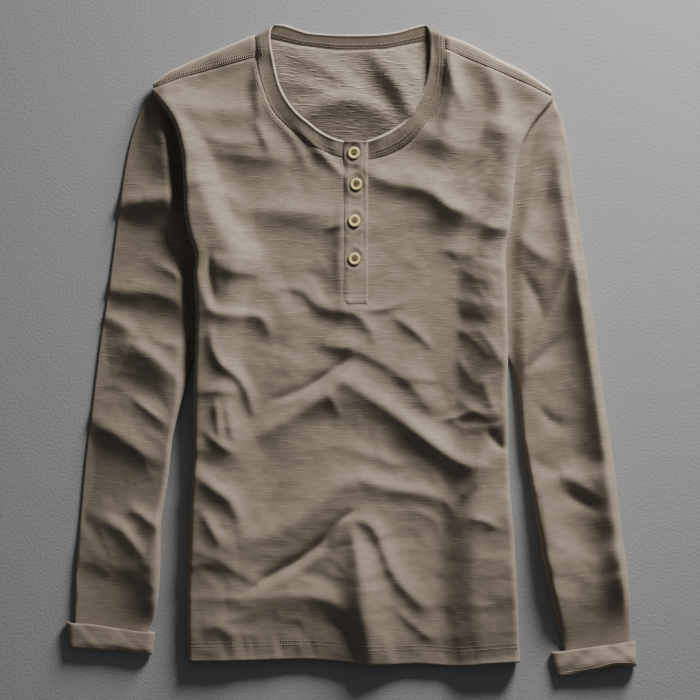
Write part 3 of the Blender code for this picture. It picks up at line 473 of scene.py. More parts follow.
# What is cut out of the front: up past the top of the neck, and down to the foot of the slot. Points
# that aren't near it, or lie below foot, count as far from it. dip is where the front passes under
# the neckband.
neckHole = {"top": 352.0, "slotX": (-5.0, 13.0), "slotFoot": 62.0, "middle": 4.0,
            "near": 125.0, "foot": 40.0, "far": -60.0, "dip": (-4.0, 0.6)}
neckEdge = np.vstack([
    neckArcs[0], [(arc[0], neckHole["top"]) for arc in (neckArcs[0][-1], neckArcs[1][0])],
    neckArcs[1], [(slotX, neckHole["slotFoot"]) for slotX in neckHole["slotX"][::-1]],
])


def neckDepth(x, y):
    # how far inside the neck and the slot under the placket a point lies, negative on the cloth
    depth = np.full(np.shape(x), neckHole["far"])
    close = (np.abs(x) < neckHole["near"]) & (y > neckHole["foot"])
    px, py = x[close], y[close]
    best, inside = np.full(px.shape, 1e9), np.zeros(px.shape, bool)
    for a, b in zip(neckEdge, np.roll(neckEdge, -1, axis=0)):
        ox, oy, _ = fromRun(px, py, a, b)
        best = np.minimum(best, np.hypot(ox, oy))
        if a[1] != b[1]:
            crosses = (a[1] > py) != (b[1] > py)
            inside ^= crosses & (px < a[0] + (py - a[1]) / (b[1] - a[1]) * (b[0] - a[0]))
    depth[close] = np.where(inside, best, -best)
    return depth


def underBand(x, y):
    # how far the front dips to pass under the neckband
    return ease(*neckHole["dip"], neckDepth(x, y))


# Points of the front's grid, and its sizes. A wall's thickness is its share of the full wall. The tuck
# shortens towards the shoulder, between two heights, and points on the neck's edge slide onto it.
frontSheet = {"rows": 256, "chest": 134, "nose": 10, "tuck": 8, "neckLap": 2.0, "lip": 4.0,
              "wall": 2.0, "plain": 0.5, "hemWall": 0.85, "hemEdge": (1.0, 6.0),
              "seamDitch": (0.25, 2.6), "seamFrom": 100.0, "leastInset": 0.4, "shortTuck": 1.2,
              "tuckEnd": (225.0, 262.0), "edgeReach": 4.0, "besideSlot": (40.0, 8.0),
              "slotTop": (205.0, 190.0)}


def sideColumns(v, side, sign):
    # places and heights round one side of the front, from the end of its tuck to the top
    x = foldX(v, side)[:, None] + sign * body["nose"]
    under = tuckZ(rowY(v[:, None], x))
    inset = body["nose"]
    for _ in range(2):
        x = foldX(v, side)[:, None] + sign * inset
        top = frontZ(x, rowY(v[:, None], x))
        inset = np.clip(0.5 * (top - under), frontSheet["leastInset"], body["nose"])
    turn = np.linspace(-0.5 * math.pi, 0.5 * math.pi, frontSheet["nose"])[None, :]
    noseX = foldX(v, side)[:, None] + sign * inset * (1.0 - np.cos(turn))
    noseZ = 0.5 * (under + top) + 0.5 * (top - under) * np.sin(turn)
    sideY = foldY(v, side)
    reach = np.maximum(curveAt(side, 2, sideY)[:, None], inset + frontSheet["lip"])
    reach = mix(reach, inset + frontSheet["shortTuck"], ease(*frontSheet["tuckEnd"], sideY)[:, None])
    share = np.linspace(0.0, 1.0, frontSheet["tuck"], endpoint=False)[None, :]
    tuckX = foldX(v, side)[:, None] + sign * mix(reach, inset, share)
    return np.hstack([tuckX, noseX]), np.hstack([tuckZ(rowY(v[:, None], tuckX)), noseZ])


def makeFront():
    v = np.linspace(0.0, 1.0, frontSheet["rows"])
    rightX, rightZ = sideColumns(v, rightSide, 1.0)
    leftX, leftZ = sideColumns(v, leftSide, -1.0)
    s = np.linspace(0.0, 1.0, frontSheet["chest"])[None, 1:-1]
    chestX = mix(rightX[:, -1:], leftX[:, -1:], s)
    chestZ = frontZ(chestX, rowY(v[:, None], chestX))
    x = np.hstack([rightX, chestX, leftX[:, ::-1]])
    y = rowY(v[:, None], x)
    z = np.hstack([rightZ, chestZ, leftZ[:, ::-1]])
    depth = neckDepth(x, y)
    lap = frontSheet["neckLap"]
    middle = 0.25 * (depth[:-1, :-1] + depth[1:, :-1] + depth[:-1, 1:] + depth[1:, 1:])
    keep = middle < lap
    # points on the cut edge slide onto its line
    edge = np.zeros(x.shape, bool)
    for di, dj in ((0, 0), (0, 1), (1, 0), (1, 1)):
        edge[di:di + keep.shape[0], dj:dj + keep.shape[1]] |= ~keep
    edge &= depth < lap + frontSheet["edgeReach"]
    slopeX = neckDepth(x + 0.5, y) - neckDepth(x - 0.5, y)
    slopeY = neckDepth(x, y + 0.5) - neckDepth(x, y - 0.5)
    x = x + np.where(edge, (lap - depth) * slopeX, 0.0)
    y = y + np.where(edge, (lap - depth) * slopeY, 0.0)
    besideSlot = ease(*frontSheet["besideSlot"], np.abs(x - neckHole["middle"]))
    z = z - underBand(x, y) * (1.0 - besideSlot * ease(*frontSheet["slotTop"], y))
    ditch, width = frontSheet["seamDitch"]
    fromSeam = np.abs(v[:, None] - 1.0) * body["length"]
    z = z - ditch * np.exp(-((fromSeam / width) ** 2)) * (np.abs(x) > frontSheet["seamFrom"])
    u = arcAcross(x, y, z, x.shape[1] // 2)
    fromHem = v[:, None] * body["length"] + 0.0 * x
    heft = mix(frontSheet["hemWall"], frontSheet["plain"], ease(*frontSheet["hemEdge"], fromHem))
    return makeSheet("front_body", x, y, z, u, y, keep=keep, wall=frontSheet["wall"], heft=heft)


front = makeFront()
print("front made:", len(front.data.polygons), "faces")

# Points of the back's grid, x of the columns that meet the neck, and the fold over the shoulder.
backSheet = {"rows": 150, "parts": 9, "nose": 5, "tuck": 6, "neck": (-102.3, -58, -16, 34, 76, 99.4),
             "middle": 18.0, "shoulderNose": 6.0, "shoulderTurn": (-70, 90, 13), "strip": 10,
             "seamGap": 0.4, "ditch": 0.25, "leastTuck": 12.0, "clear": (2.0, 16.0), "bulge": 4.2,
             "bulgeX": (8.0, 62.0), "bulgeY": ((322.0, 292.0), (205.0, 225.0)), "foldBase": 0.5,
             "seenY": ((338.0, 326.0), (215.0, 240.0)), "leastInset": 2.0, "insetTop": 274.0,
             "halfway": 0.55, "toNeck": (0.55, 0.95), "keptPast": 8}
backFolds = [
    Fold(7.0, 8, 25, [(-62, 244), (-42, 258), (-18, 268), (4, 269), (24, 261), (40, 250)]),
    Fold(5.8, 14, 10, [(20, 322), (34, 302), (50, 280), (61, 258), (68, 244)]),
    Fold(2.6, 9, 9, [(-64, 318), (-36, 306), (-10, 290), (16, 276)]),
    Fold(2.2, 8, 9, [(-72, 288), (-48, 284), (-26, 276)]),
    Fold(2.8, 8, 10, [(40, 324), (56, 306), (70, 282)]),
]


def shoulderInset(x):
    return np.minimum(backSheet["shoulderNose"], 0.4 * (lineAt(backTop, x) - lineAt(shoulderSeam, x)))


def backSurface(x, y):
    # a bulge and a few soft folds show inside the neck
    clear = ease(*backSheet["clear"], neckDepth(x, y))
    top, foot = backSheet["bulgeY"]
    bulge = backSheet["bulge"] * clear * ease(*backSheet["bulgeX"], x) * ease(*top, y) * ease(*foot, y)
    top, foot = backSheet["seenY"]
    seen = clear * ease(*top, y) * ease(*foot, y)
    folds = np.maximum(foldHeight(backFolds, x, y) + backSheet["foldBase"], 0.0)
    return backZ(x, y) + bulge + seen * folds


def backColumns(v, side, sign, neckX):
    # columns of one half: round the edge, over the layers folded under, and in to the neck
    sideY = foldY(v, side)
    edge = mix(body["backInset"] + body["backNose"], backSheet["leastInset"],
               ease(body["foldTop"], backSheet["insetTop"], sideY))
    level = curveAt(side, 2, sideY) + body["backRest"]
    halfway = mix(edge, level, backSheet["halfway"])
    insets = np.stack([edge, halfway, level, level + body["backSlope"]], -1)
    inner = mix(-sign * backSheet["middle"], neckX, ease(*backSheet["toNeck"], v))
    return np.hstack([foldX(v, side)[:, None] + sign * insets, inner[:, None]])


def backTuck(v, side, sign, rows):
    # the fold and tuck at one side, with spare rows up to the height of the whole grid
    reach = np.maximum(curveAt(side, 2, foldY(v, side)), backSheet["leastTuck"])
    share = np.linspace(0.0, 1.0, backSheet["tuck"], endpoint=False)[None, :]
    inset = body["backInset"] + body["backNose"]
    tuckX = foldX(v, side)[:, None] + sign * mix(reach[:, None], inset, share)
    turn = np.radians(np.linspace(-90, 90, backSheet["nose"]))[None, :-1]
    noseX = foldX(v, side)[:, None] + sign * (inset - body["backNose"] * np.cos(turn))
    x = np.hstack([tuckX, noseX])
    y = rowY(v[:, None], x)
    rise = np.hstack([0.0 * tuckX, body["backNose"] * (1.0 + np.sin(turn)) + 0.0 * noseX])
    spare = np.zeros((rows - len(v), x.shape[1]))
    return [np.vstack([part, spare]) for part in (x, y, tuckZ(y) + body["pitch"] + rise)]


def makeBack():
    v = np.linspace(0.0, 1.0, backSheet["rows"])
    neck = backSheet["neck"]
    near = backColumns(v, rightSide, 1.0, neck[0])
    far = backColumns(v, leftSide, -1.0, neck[-1])[:, ::-1]
    share = (np.array(neck[1:-1]) - neck[0]) / (neck[-1] - neck[0])
    anchors = np.hstack([near, mix(near[:, -1:], far[:, :1], share[None, :]), far])
    parts = backSheet["parts"]
    fine = np.arange((anchors.shape[1] - 1) * parts + 1) / parts
    x = np.stack([np.interp(fine, np.arange(anchors.shape[1]), row) for row in anchors])
    y = backRowY(v[:, None], x)
    firstNeck, lastNeck = 4 * parts, (anchors.shape[1] - 5) * parts
    columns = np.arange(x.shape[1])
    overShoulder = (columns <= firstNeck) | (columns >= lastNeck)
    y = y - shoulderInset(x) * ease(0.9, 1.0, v[:, None]) * overShoulder
    z = backSurface(x, y)
    # round the shoulder fold and down its strip to the seam with the front
    topX, topY, topZ = x[-1], y[-1], z[-1]
    inset = shoulderInset(topX)
    crestY = topY + inset
    high = frontZ(topX, crestY - inset)
    for turn in np.radians(np.linspace(*backSheet["shoulderTurn"])):
        x = np.vstack([x, topX])
        y = np.vstack([y, crestY - inset * (1.0 - math.cos(turn))])
        z = np.vstack([z, 0.5 * (topZ + high) + 0.5 * (high - topZ) * math.sin(turn)])
    seamY = lineAt(shoulderSeam, topX) + backSheet["seamGap"]
    for down in np.linspace(0.0, 1.0, backSheet["strip"] + 1)[1:]:
        stripY = mix(crestY - inset, seamY, down)
        ditch = backSheet["ditch"] * math.exp(-(((1.0 - down) * 4.0) ** 2))
        x, y = np.vstack([x, topX]), np.vstack([y, stripY])
        z = np.vstack([z, frontZ(topX, stripY) - ditch])
    rows = len(x)
    rightTuck, leftTuck = backTuck(v, rightSide, 1.0, rows), backTuck(v, leftSide, -1.0, rows)
    x, y, z = [np.hstack([near, part, far[:, ::-1]])
               for near, part, far in zip(rightTuck, (x, y, z), leftTuck)]
    border = rightTuck[0].shape[1]
    i, j = np.meshgrid(np.arange(rows - 1), np.arange(x.shape[1] - 1), indexing="ij")
    inTuck = (j < border) | (j >= x.shape[1] - 1 - border)
    folded = foldY((i + 1) / (backSheet["rows"] - 1), rightSide) <= body["foldTop"] + backSheet["keptPast"]
    inNeck = (j >= border + firstNeck) & (j < border + lastNeck)
    inStrip = i >= backSheet["rows"] - 1
    keep = np.where(inStrip, ~inTuck & ~inNeck, ~inTuck | folded)
    u = arcAcross(x, y, 0.0 * z, x.shape[1] // 2)
    step = np.sqrt(np.diff(y, axis=0) ** 2 + np.diff(z, axis=0) ** 2)
    along = np.vstack([np.zeros((1, x.shape[1])), np.cumsum(step, axis=0)])
    return makeSheet("back_body", x, y, z, u, along, keep=keep, wall=1.0)


back = makeBack()
print("back made:", len(back.data.polygons), "faces")

# Points of a sleeve's grid, then its form: how full it is, how far beside the body it is pressed
# down and over which y that fades, how far above the cuff it gathers at the outer and the inner
# edge, and how much the inner edge stands above the outer one, above and then below the elbow.
sleeveSheet = {
    "parts": 15, "rim": 7, "top": 50, "under": 22, "full": 4.0, "ripple": 1.1, "thin": 1.3,
    "pressed": (4.0, 20.0), "free": (-95.0, -30.0), "lap": 2.0, "bowed": 4.5, "gatherEnd": 6.0,
    "gather": {"right": (84.0, 84.0), "left": (50.0, 100.0)}, "elbow": (90.0, 0.0),
    "lean": {"right": (17.0, 17.0), "left": (-9.0, 9.0)}, "leanFrom": 0.4, "thinEnd": 0.3,
    "bowEnds": ((0.0, 0.08), (1.0, 0.92)),
}
# x and y of the outer edge, then of the inner edge, from the shoulder to the wrist
rightSleeve = [
    (-212.5, 279, -92, 31), (-226, 256, -116, 22), (-237, 222, -142, 12), (-245, 180, -164, 2),
    (-251, 134, -177, -34), (-260, 66, -191, -88), (-269, 8, -197, -136), (-277, -56, -204, -180),
    (-284, -112, -205, -222), (-290, -176, -207, -258), (-295, -238, -211, -282),
    (-296, -288, -218, -299), (-296, -309, -218, -317),
]
leftSleeve = [
    (214.5, 271, 91, 31), (224, 248, 114, 22), (231, 216, 140, 11), (236, 178, 164, 0),
    (241.5, 137, 178, -44), (252, 74, 183, -94), (261, 8, 191, -140), (269, -52, 200, -196),
    (279, -116, 206, -232), (288, -190, 214, -268), (296, -252, 222, -300),
    (297, -306, 228, -322), (297, -324, 229, -336),
]
rightSleeveFolds = [
    # the shaded side of the sleeve head, and the deep fold under it
    Fold(6.2, 8, 20, [(-194, 278), (-199, 240), (-198, 205), (-190, 176)]),
    Fold(8.2, 18, 13, [(-258, 152), (-240, 157), (-217, 160), (-190, 165), (-168, 163)]),
    # folds and creases down the upper arm
    Fold(1.8, 5, 6, [(-257, 138), (-242, 130), (-222, 117)]),
    Fold(-3.0, 14, 12, [(-262, 112), (-238, 120), (-206, 118), (-176, 122)]),
    Fold(3.2, 6, 8, [(-207, 92), (-192, 85), (-174, 70)]),
    Fold(5.2, 22, 11, [(-266, 68), (-242, 63), (-218, 64), (-196, 58), (-176, 47)]),
    Fold(3.6, 9, 15, [(-270, 38), (-250, 31), (-230, 15)]),
    Fold(2.2, 9, 8, [(-216, 18), (-202, 10), (-186, 6)]),
    Fold(5.2, 8, 24, [(-236, 6), (-212, -6), (-188, -30)]),
    Fold(2.6, 5, 6, [(-232, -52), (-216, -64), (-196, -78)]),
    # the long fold over the elbow, and the folds of the forearm
    Fold(5.0, 20, 14, [(-285, -70), (-260, -84), (-236, -98), (-203, -120)]),
    Fold(2.4, 7, 10, [(-236, -166), (-220, -178), (-203, -190)]),
    Fold(3.8, 9, 14, [(-266, -174), (-243, -193), (-222, -220)]),
    Fold(4.0, 42, 12, [(-298, -222), (-277, -226), (-255, -238)]),
    Fold(2.2, 7, 15, [(-209, -176), (-214, -226), (-218, -276)]),
    Fold(4.0, 19, 12, [(-300, -258), (-274, -276), (-250, -296)]),
]
leftSleeveFolds = [
    # the raised rim along the outer edge, in two runs
    Fold(6.2, 7, 13, [(219, 214), (227, 150), (235, 110), (244, 48), (255, -20), (264, -84), (270, -128)]),
    Fold(8.6, 6, 26, [(240, 92), (255, 0), (267, -84), (278, -176), (286, -236), (291, -290),
                      (296, -350)]),
    # the ridge that climbs from the body to the rim, and the creases below it
    Fold(5.0, 8, 11, [(186, -22), (202, 18), (220, 62), (234, 112)]),
    Fold(-2.2, 6, 6, [(176, -26), (204, -4), (226, 14)]),
    Fold(-2.4, 7, 7, [(200, -62), (212, -74), (226, -80)]),
    Fold(2.4, 9, 8, [(222, -132), (240, -140), (262, -154)]),
    Fold(-2.4, 6, 6, [(228, -152), (244, -160), (262, -168)]),
    # the swell down the middle of the forearm, and the slope inside the rim
    Fold(6.0, 30, 6, [(204, -156), (210, -212), (219, -262), (231, -318)]),
    Fold(4.4, 7, 20, [(270, -132), (279, -190), (286, -244), (291, -300)]),
    # soft hollows and creases of the upper arm and the elbow
    Fold(-2.6, 10, 10, [(212, 182), (206, 160), (196, 140)]),
    Fold(-2.2, 12, 12, [(196, 250), (192, 214), (186, 176)]),
    Fold(-1.8, 8, 8, [(196, -118), (212, -128), (224, -128)]),
    Fold(2.4, 9, 9, [(180, 122), (196, 106), (214, 96)]),
    Fold(-2.2, 8, 8, [(182, 84), (196, 60), (204, 36)]),
]
# A cuff: the ends of its top edge and of its mouth, its height, how far its lip draws back and at
# what x, how far its mouth stands open, its rows of stitches as shares of its depth, and its seed.
Cuff = namedtuple("Cuff", "topOuter topInner bottomOuter bottomInner height lip lipX open rows seed")
rightCuff = Cuff((-304.5, -289), (-211, -301), (-302.5, -317), (-214, -325), 6.8, 1.4, -250,
                 0.0, (0.9,), 51)
leftCuff = Cuff((302.5, -310), (213, -322), (304, -337), (219, -348), 5.8, 4.2, 280,
                2.6, (0.74, 0.86), 61)
# Both cuffs: how deep their fold is, the points of their grid, how far they turn in, and their relief.
# Each field of lumps has its level, swing, size, slant and run down the cuff, and seed; the wave of
# the top edge has its reach, size, change from the upper to the under layer, and seed.
cuffSheet = {"deep": 2.6, "sideDeep": 8.0, "rim": 7, "top": 54, "under": 26, "turnIn": 0.66,
             "down": 12, "back": 5, "openX": (244.0, 278.0), "bellyX": (232.0, 266.0),
             "belly": (1.2, 3.2), "bellyEnds": ((-0.15, 0.8), (1.06, 0.9)), "sewn": (0.8, 0.045),
             "lumps": [(0.8, 1.1, (19, 30), (20.0, 40.0), 0), (0.4, 0.6, (10, 22), (-30.0, 12.0), 7)],
             "lumpsEnd": (1.08, 0.8), "lipWidth": 20.0, "lipFrom": (0.35, 1.0), "lipLift": (0.0, 0.7),
             "wave": (1.3, (23, 60), 30.0, 3), "roundAs": 9.0}
# A ring's rounded edges: how far in its height is read, then radius = share of height + more, within
# limits; the share of that beneath it, and where its middle lies between low and high.
ringForm = {"readIn": 6.0, "share": 0.75, "more": 0.6, "limits": (1.2, 8.0), "beneath": 0.6,
            "middle": 0.42}


def acrossRing(outer, inner, low, top, plan):
    # one flattened ring for each row: round the outer edge, over the top, round the inner edge and
    # back beneath. top(x, y) gives its upper height
    width = np.hypot(*(inner - outer).T)[:, None]
    reach = []
    for end, step in ((outer, 1.0), (inner, -1.0)):
        spot = end + step * ringForm["readIn"] * (inner - outer) / width
        reach.append(top(spot[:, 0], spot[:, 1])[:, None] - low[:, None])
    outerRound, innerRound = [
        np.clip(ringForm["share"] * r + ringForm["more"], *ringForm["limits"]) for r in reach]
    rim = np.linspace(0.0, 0.5 * math.pi, plan["rim"])[None, :]
    flat = np.linspace(0.0, 1.0, plan["top"])[None, 1:-1]
    under = np.linspace(1.0, 0.0, plan["under"])[None, 1:-1]
    underRound = ringForm["beneath"]
    distance = np.hstack([
        outerRound * (1 - np.cos(rim)), mix(outerRound, width - innerRound, flat),
        (width - innerRound * (1 - np.cos(rim)))[:, ::-1],
        width - underRound * innerRound * (1 - np.cos(rim[:, 1:])),
        mix(underRound * outerRound, width - underRound * innerRound, under),
        (underRound * outerRound * (1 - np.cos(rim[:, 1:])))[:, ::-1],
    ])
    lift = np.hstack([np.sin(rim), np.ones((1, plan["top"] - 2)), np.sin(rim)[:, ::-1],
                      -np.sin(rim[:, 1:]), -np.ones((1, plan["under"] - 2)),
                      -np.sin(rim[:, 1:])[:, ::-1]])
    share = distance / width
    x = mix(outer[:, :1], inner[:, :1], share)
    y = mix(outer[:, 1:], inner[:, 1:], share)
    return x, y, lift, share


def ringHeights(low, high, lift):
    centre = mix(low, high, ringForm["middle"])
    return np.where(lift > 0, mix(centre, high, lift), mix(centre, low, -lift))


def closingColumn(*grids):
    # a ring's cut needs one column more than its points: the first again, at the end
    return [np.hstack([grid, grid[:, :1]]) for grid in grids]


def sleeveCut(x, y, lift, outer, inner):
    # sizes on the cut of a sleeve: square to its length and along it, the under side mirrored
    middle = 0.5 * (outer + inner)
    run = middle[-1] - middle[len(middle) // 2]
    run = run / np.hypot(*run)
    along = x * run[0] + y * run[1]
    across = x * run[1] - y * run[0]
    edge = outer[:, :1] * run[1] - outer[:, 1:] * run[0]
    return closingColumn((across - edge) * np.where(lift < 0, -1.0, 1.0), along)


def cuffLevel(cuff, inset):
    return body["ground"] + cuffSheet["deep"] * inset, cuff.height - cuffSheet["deep"] * inset


def makeSleeve(name, table, folds, cuff, seed):
    hand = name.split("_")[1]
    side, sign = (rightSide, 1.0) if hand == "right" else (leftSide, -1.0)
    edges = through(table, sleeveSheet["parts"])
    outer, inner = edges[:, :2], edges[:, 2:]

    def top(x, y):
        # upper height: pressed flat beside and beneath the body, at its full height beyond it
        free = ease(*sleeveSheet["pressed"], -sideOf(x, y)[0])
        fullness = mix(1.0, free, ease(*sleeveSheet["free"], y))
        outerX, innerX = (np.interp(y, edge[::-1, 1], edge[::-1, 0]) for edge in (outer, inner))
        share = np.clip((x - outerX) / (innerX - outerX), 0.0, 1.0)
        lean = mix(*sleeveSheet["lean"][hand], ease(*sleeveSheet["elbow"], y))
        lean = lean * (share - sleeveSheet["leanFrom"])
        ripple = sleeveSheet["ripple"] * crumple(x, y, seed)
        puff = sleeveSheet["full"] + lean + foldHeight(folds, x, y) + ripple
        least = mix(sleeveSheet["thin"], body["sleeveHidden"], ease(0.0, sleeveSheet["thinEnd"], share))
        return body["ground"] + least + fullness * np.maximum(0.0, puff)

    # the wrist gathers to the height of its cuff
    aboveCuff = 0.5 * (outer[:, 1] + inner[:, 1]) - 0.5 * (cuff.topOuter[1] + cuff.topInner[1])
    gatherEnd, gather = sleeveSheet["gatherEnd"], sleeveSheet["gather"][hand]
    cuffLow, cuffHigh = cuffLevel(cuff, 0.5)
    low = mix(cuffLow, body["ground"], ease(gatherEnd, gather[0], aboveCuff))
    x, y, lift, share = acrossRing(outer, inner, low, top, sleeveSheet)
    # the sleeve's head is bowed to meet the armhole
    firstX, firstY = x[:1], y[:1]
    tuck = np.maximum(curveAt(side, 2, firstY), 0.0)
    seamX = curveAt(side, 1, firstY) + sign * (tuck + sleeveSheet["lap"])
    outerEnd, innerEnd = sleeveSheet["bowEnds"]
    bow = (seamX - firstX) * ease(*outerEnd, share[:1]) * ease(*innerEnd, share[:1])
    fromHead = np.linspace(0.0, len(table) - 1, len(edges))
    x = x + np.clip(1.0 - fromHead / sleeveSheet["bowed"], 0.0, 1.0)[:, None] ** 2 * bow
    high = mix(cuffHigh, top(x, y), ease(gatherEnd, mix(*gather, share), aboveCuff[:, None]))
    z = ringHeights(low[:, None], high, lift)
    u, v = sleeveCut(x, y, lift, outer, inner)
    return makeSheet(name, x, y, z, u, v, ring=True, flip=sign > 0, wall=1.0)


rightSleevePiece = makeSleeve("sleeve_right", rightSleeve, rightSleeveFolds, rightCuff, 21)
leftSleevePiece = makeSleeve("sleeve_left", leftSleeve, leftSleeveFolds, leftCuff, 31)
print("sleeves made:", len(rightSleevePiece.data.polygons) + len(leftSleevePiece.data.polygons), "faces")


def cuffEnds(cuff, drop):
    # outer and inner end of a cuff's row, by how far down it lies as a share of the depth
    return (mix(np.array(cuff.topOuter), np.array(cuff.bottomOuter), drop),
            mix(np.array(cuff.topInner), np.array(cuff.bottomInner), drop))


def cuffRelief(cuff, x, drop):
    # what the upper layer of a cuff adds to its even height
    full = mix(*cuffSheet["belly"], ease(*cuffSheet["bellyX"], x))
    above, below = cuffSheet["bellyEnds"]
    belly = full * ease(*above, drop) * ease(*below, drop)
    uneven = 0.0
    for level, swing, size, (slant, run), seed in cuffSheet["lumps"]:
        field = lumps(x + slant * drop, run * drop + 0.0 * x, size, cuff.seed + seed)
        uneven = uneven + (level + swing * field)
    deep, width = cuffSheet["sewn"]
    sewn = sum(deep * np.exp(-(((drop - line) / width) ** 2)) for line in cuff.rows)
    return belly + uneven * ease(*cuffSheet["lumpsEnd"], drop) - sewn


def cuffLip(cuff, x, drop):
    # the upper layer draws back from the mouth
    along = np.exp(-(((x - cuff.lipX) / cuffSheet["lipWidth"]) ** 2))
    return cuff.lip * along * ease(*cuffSheet["lipFrom"], drop)


def cuffOpen(cuff, x, drop):
    # the mouth stands open towards its outer end
    return cuff.open * ease(*cuffSheet["openX"], x) * drop


def makeCuff(name, cuff):
    # down the outside, round the lip at the mouth and back up inside
    depth = math.dist(cuff.topOuter, cuff.bottomOuter)
    turn = np.radians(np.linspace(0.0, 180.0, 9))[1:-1]
    lip = 0.5 * cuffSheet["deep"] / depth
    down, back = cuffSheet["down"], cuffSheet["back"]
    drop = np.concatenate([np.linspace(0.0, 1.0 - lip, down), 1.0 - lip * (1.0 - np.sin(turn)),
                           np.linspace(1.0 - lip, cuffSheet["turnIn"], back)])[:, None]
    inset = np.concatenate([np.zeros(down), 0.5 * (1.0 - np.cos(turn)), np.ones(back)])[:, None]
    outer, inner = cuffEnds(cuff, drop)
    share = inset * cuffSheet["sideDeep"] / math.dist(cuff.topOuter, cuff.topInner)
    outer, inner = mix(outer, inner, share), mix(inner, outer, share)
    low, high = cuffLevel(cuff, inset)
    x, y, lift, _ = acrossRing(outer, inner, low[:, 0],
                               lambda px, py: 0.0 * px + cuffSheet["roundAs"], cuffSheet)
    high = high + cuffRelief(cuff, x, drop) * (1.0 - inset) + cuffOpen(cuff, x, drop)
    reach, size, turned, seed = cuffSheet["wave"]
    wave = reach * lumps(x, turned * lift, size, cuff.seed + seed)
    drawn = cuffLip(cuff, x, drop) * ease(*cuffSheet["lipLift"], lift)
    y = y + wave * (1.0 - drop) * (1.0 - inset) + drawn
    z = ringHeights(low, high, lift)
    u = arcAcross(*closingColumn(x, y, z), 0)
    step = np.hypot(np.diff(drop[:, 0], prepend=0.0) * depth,
                    np.diff(inset[:, 0], prepend=0.0) * cuffSheet["deep"])
    v = np.cumsum(step)[:, None] + 0.0 * u
    return makeSheet(name, x, y, z, u, v, ring=True, flip=name.endswith("right"), wall=1.3)


rightCuffPiece = makeCuff("cuff_right", rightCuff)
leftCuffPiece = makeCuff("cuff_left", leftCuff)
print("cuffs made")

# The band's form: the steps of its section that roll over the free edge, its crown, its level behind
# the neck, how far the free edge stands up, and how far from the placket it is pressed thin.
band = {"parts": 5, "rolled": (9, 10, 11), "crown": 0.9, "backLevel": 0.75, "overlap": 0.6,
        "tilt": {"right": 4.6, "left": 0.5, "back": 1.0}, "tiltDrop": 6.5, "tiltEnd": (306.0, 334.0),
        "tiltSide": (-60.0, 30.0), "flatCrown": (14.0, 26.0), "flatWall": (14.0, 24.0),
        "flatShare": 0.45, "seamLap": 0.2, "behind": (0.5, 0.1)}
# Section of the band: share of its width from the seam to the free edge, and height over its middle.
bandSection = [
    (0.0, 0.3), (0.03, 0.6), (0.1, 0.85), (0.16, 0.75), (0.22, 1.0), (0.45, 1.35), (0.7, 1.7),
    (0.82, 2.0), (0.87, 2.5), (0.91, 2.6), (0.96, 2.0), (1.01, 1.0), (0.99, 0.1), (0.93, -0.3),
    (0.7, -0.45), (0.4, -0.5), (0.15, -0.5), (0.02, -0.35),
]


def bandStations():
    rows = through(bandTable, band["parts"])
    seamY = np.where(rows[:, 4] > 0.5, rows[:, 1], lineAt(backTop, rows[:, 0]) + band["seamLap"])
    rows[:, 1] = mix(rows[:, 1], seamY, ease(*band["behind"], rows[:, 4]))
    return rows


def bandPoint(rows, share):
    # place and middle height of the band at a share of its width
    x, y = mix(rows[:, 0], rows[:, 2], share), mix(rows[:, 1], rows[:, 3], share)
    crown = band["crown"] * math.sin(math.pi * min(max(share, 0.0), 1.0))
    crown = crown * ease(*band["flatCrown"], np.abs(x - neckHole["middle"]))
    over = np.clip(rows[:, 4], 0.0, 1.0)
    z = mix(band["backLevel"] + 0.5 * crown, frontZ(x, y) + crown, over)
    return x, y, z


def makeBand():
    rows = bandStations()
    step = np.hypot(*np.diff(0.5 * (rows[:, :2] + rows[:, 2:4]), axis=0).T)
    along = np.concatenate([[0.0], np.cumsum(step)])
    width = np.hypot(rows[:, 2] - rows[:, 0], rows[:, 3] - rows[:, 1])
    over = np.clip(rows[:, 4], 0.0, 1.0)
    xs, ys, zs, us = [], [], [], []
    for share, height in bandSection:
        wide = mix(-band["overlap"] / width, 1.0, share)
        x, y = mix(rows[:, 0], rows[:, 2], wide), mix(rows[:, 1], rows[:, 3], wide)
        z = bandPoint(rows, share)[2]
        flat = mix(1.0, ease(*band["flatWall"], np.abs(x - neckHole["middle"])), over)
        tilt = mix(band["tilt"]["right"], band["tilt"]["left"], ease(*band["tiltSide"], x))
        tilt = tilt - band["tiltDrop"] * ease(*band["tiltEnd"], y)
        lean = flat * share * mix(band["tilt"]["back"], tilt, over)
        xs.append(x)
        ys.append(y)
        zs.append(z + lean + np.where(height > 0, mix(band["flatShare"], 1.0, flat) * height, height))
        us.append(share * width * (1.0 if height > 0 else -1.0))
    points = np.stack([np.stack(part, -1) for part in (xs, ys, zs)], -1) * mm
    columns = len(bandSection)
    form = bmesh.new()
    cut = form.loops.layers.uv.new("Cut")
    verts = [[form.verts.new(point) for point in row] for row in points]
    for i in range(len(verts) - 1):
        for j in range(columns):
            k = (j + 1) % columns
            corners = ((i, j), (i + 1, j), (i + 1, k), (i, k))
            face = form.faces.new([verts[a][b] for a, b in corners])
            for loop, (a, b) in zip(face.loops, corners):
                loop[cut].uv = (along[a] * mm, us[b][a] * mm)
    form.faces.new(verts[0][::-1])
    form.faces.new(verts[-1])
    mesh = closedMesh("neckband", form)
    mesh.shade_smooth()
    return addObject("neckband_cloth", mesh)


neckband = makeBand()

placket = {"upperX": (-8.5, 17.0), "upperY": (50.0, 224.6), "underX": (-7.0, 15.5),
           "underY": (54.0, 222.5), "lift": 1.3, "drop": 1.6, "stitchX": (12.0, 15.6),
           "boxY": (51.8, 56.0, 60.2), "sewn": (0.5, 0.8), "columns": 26, "rows": 130, "wall": 1.3}
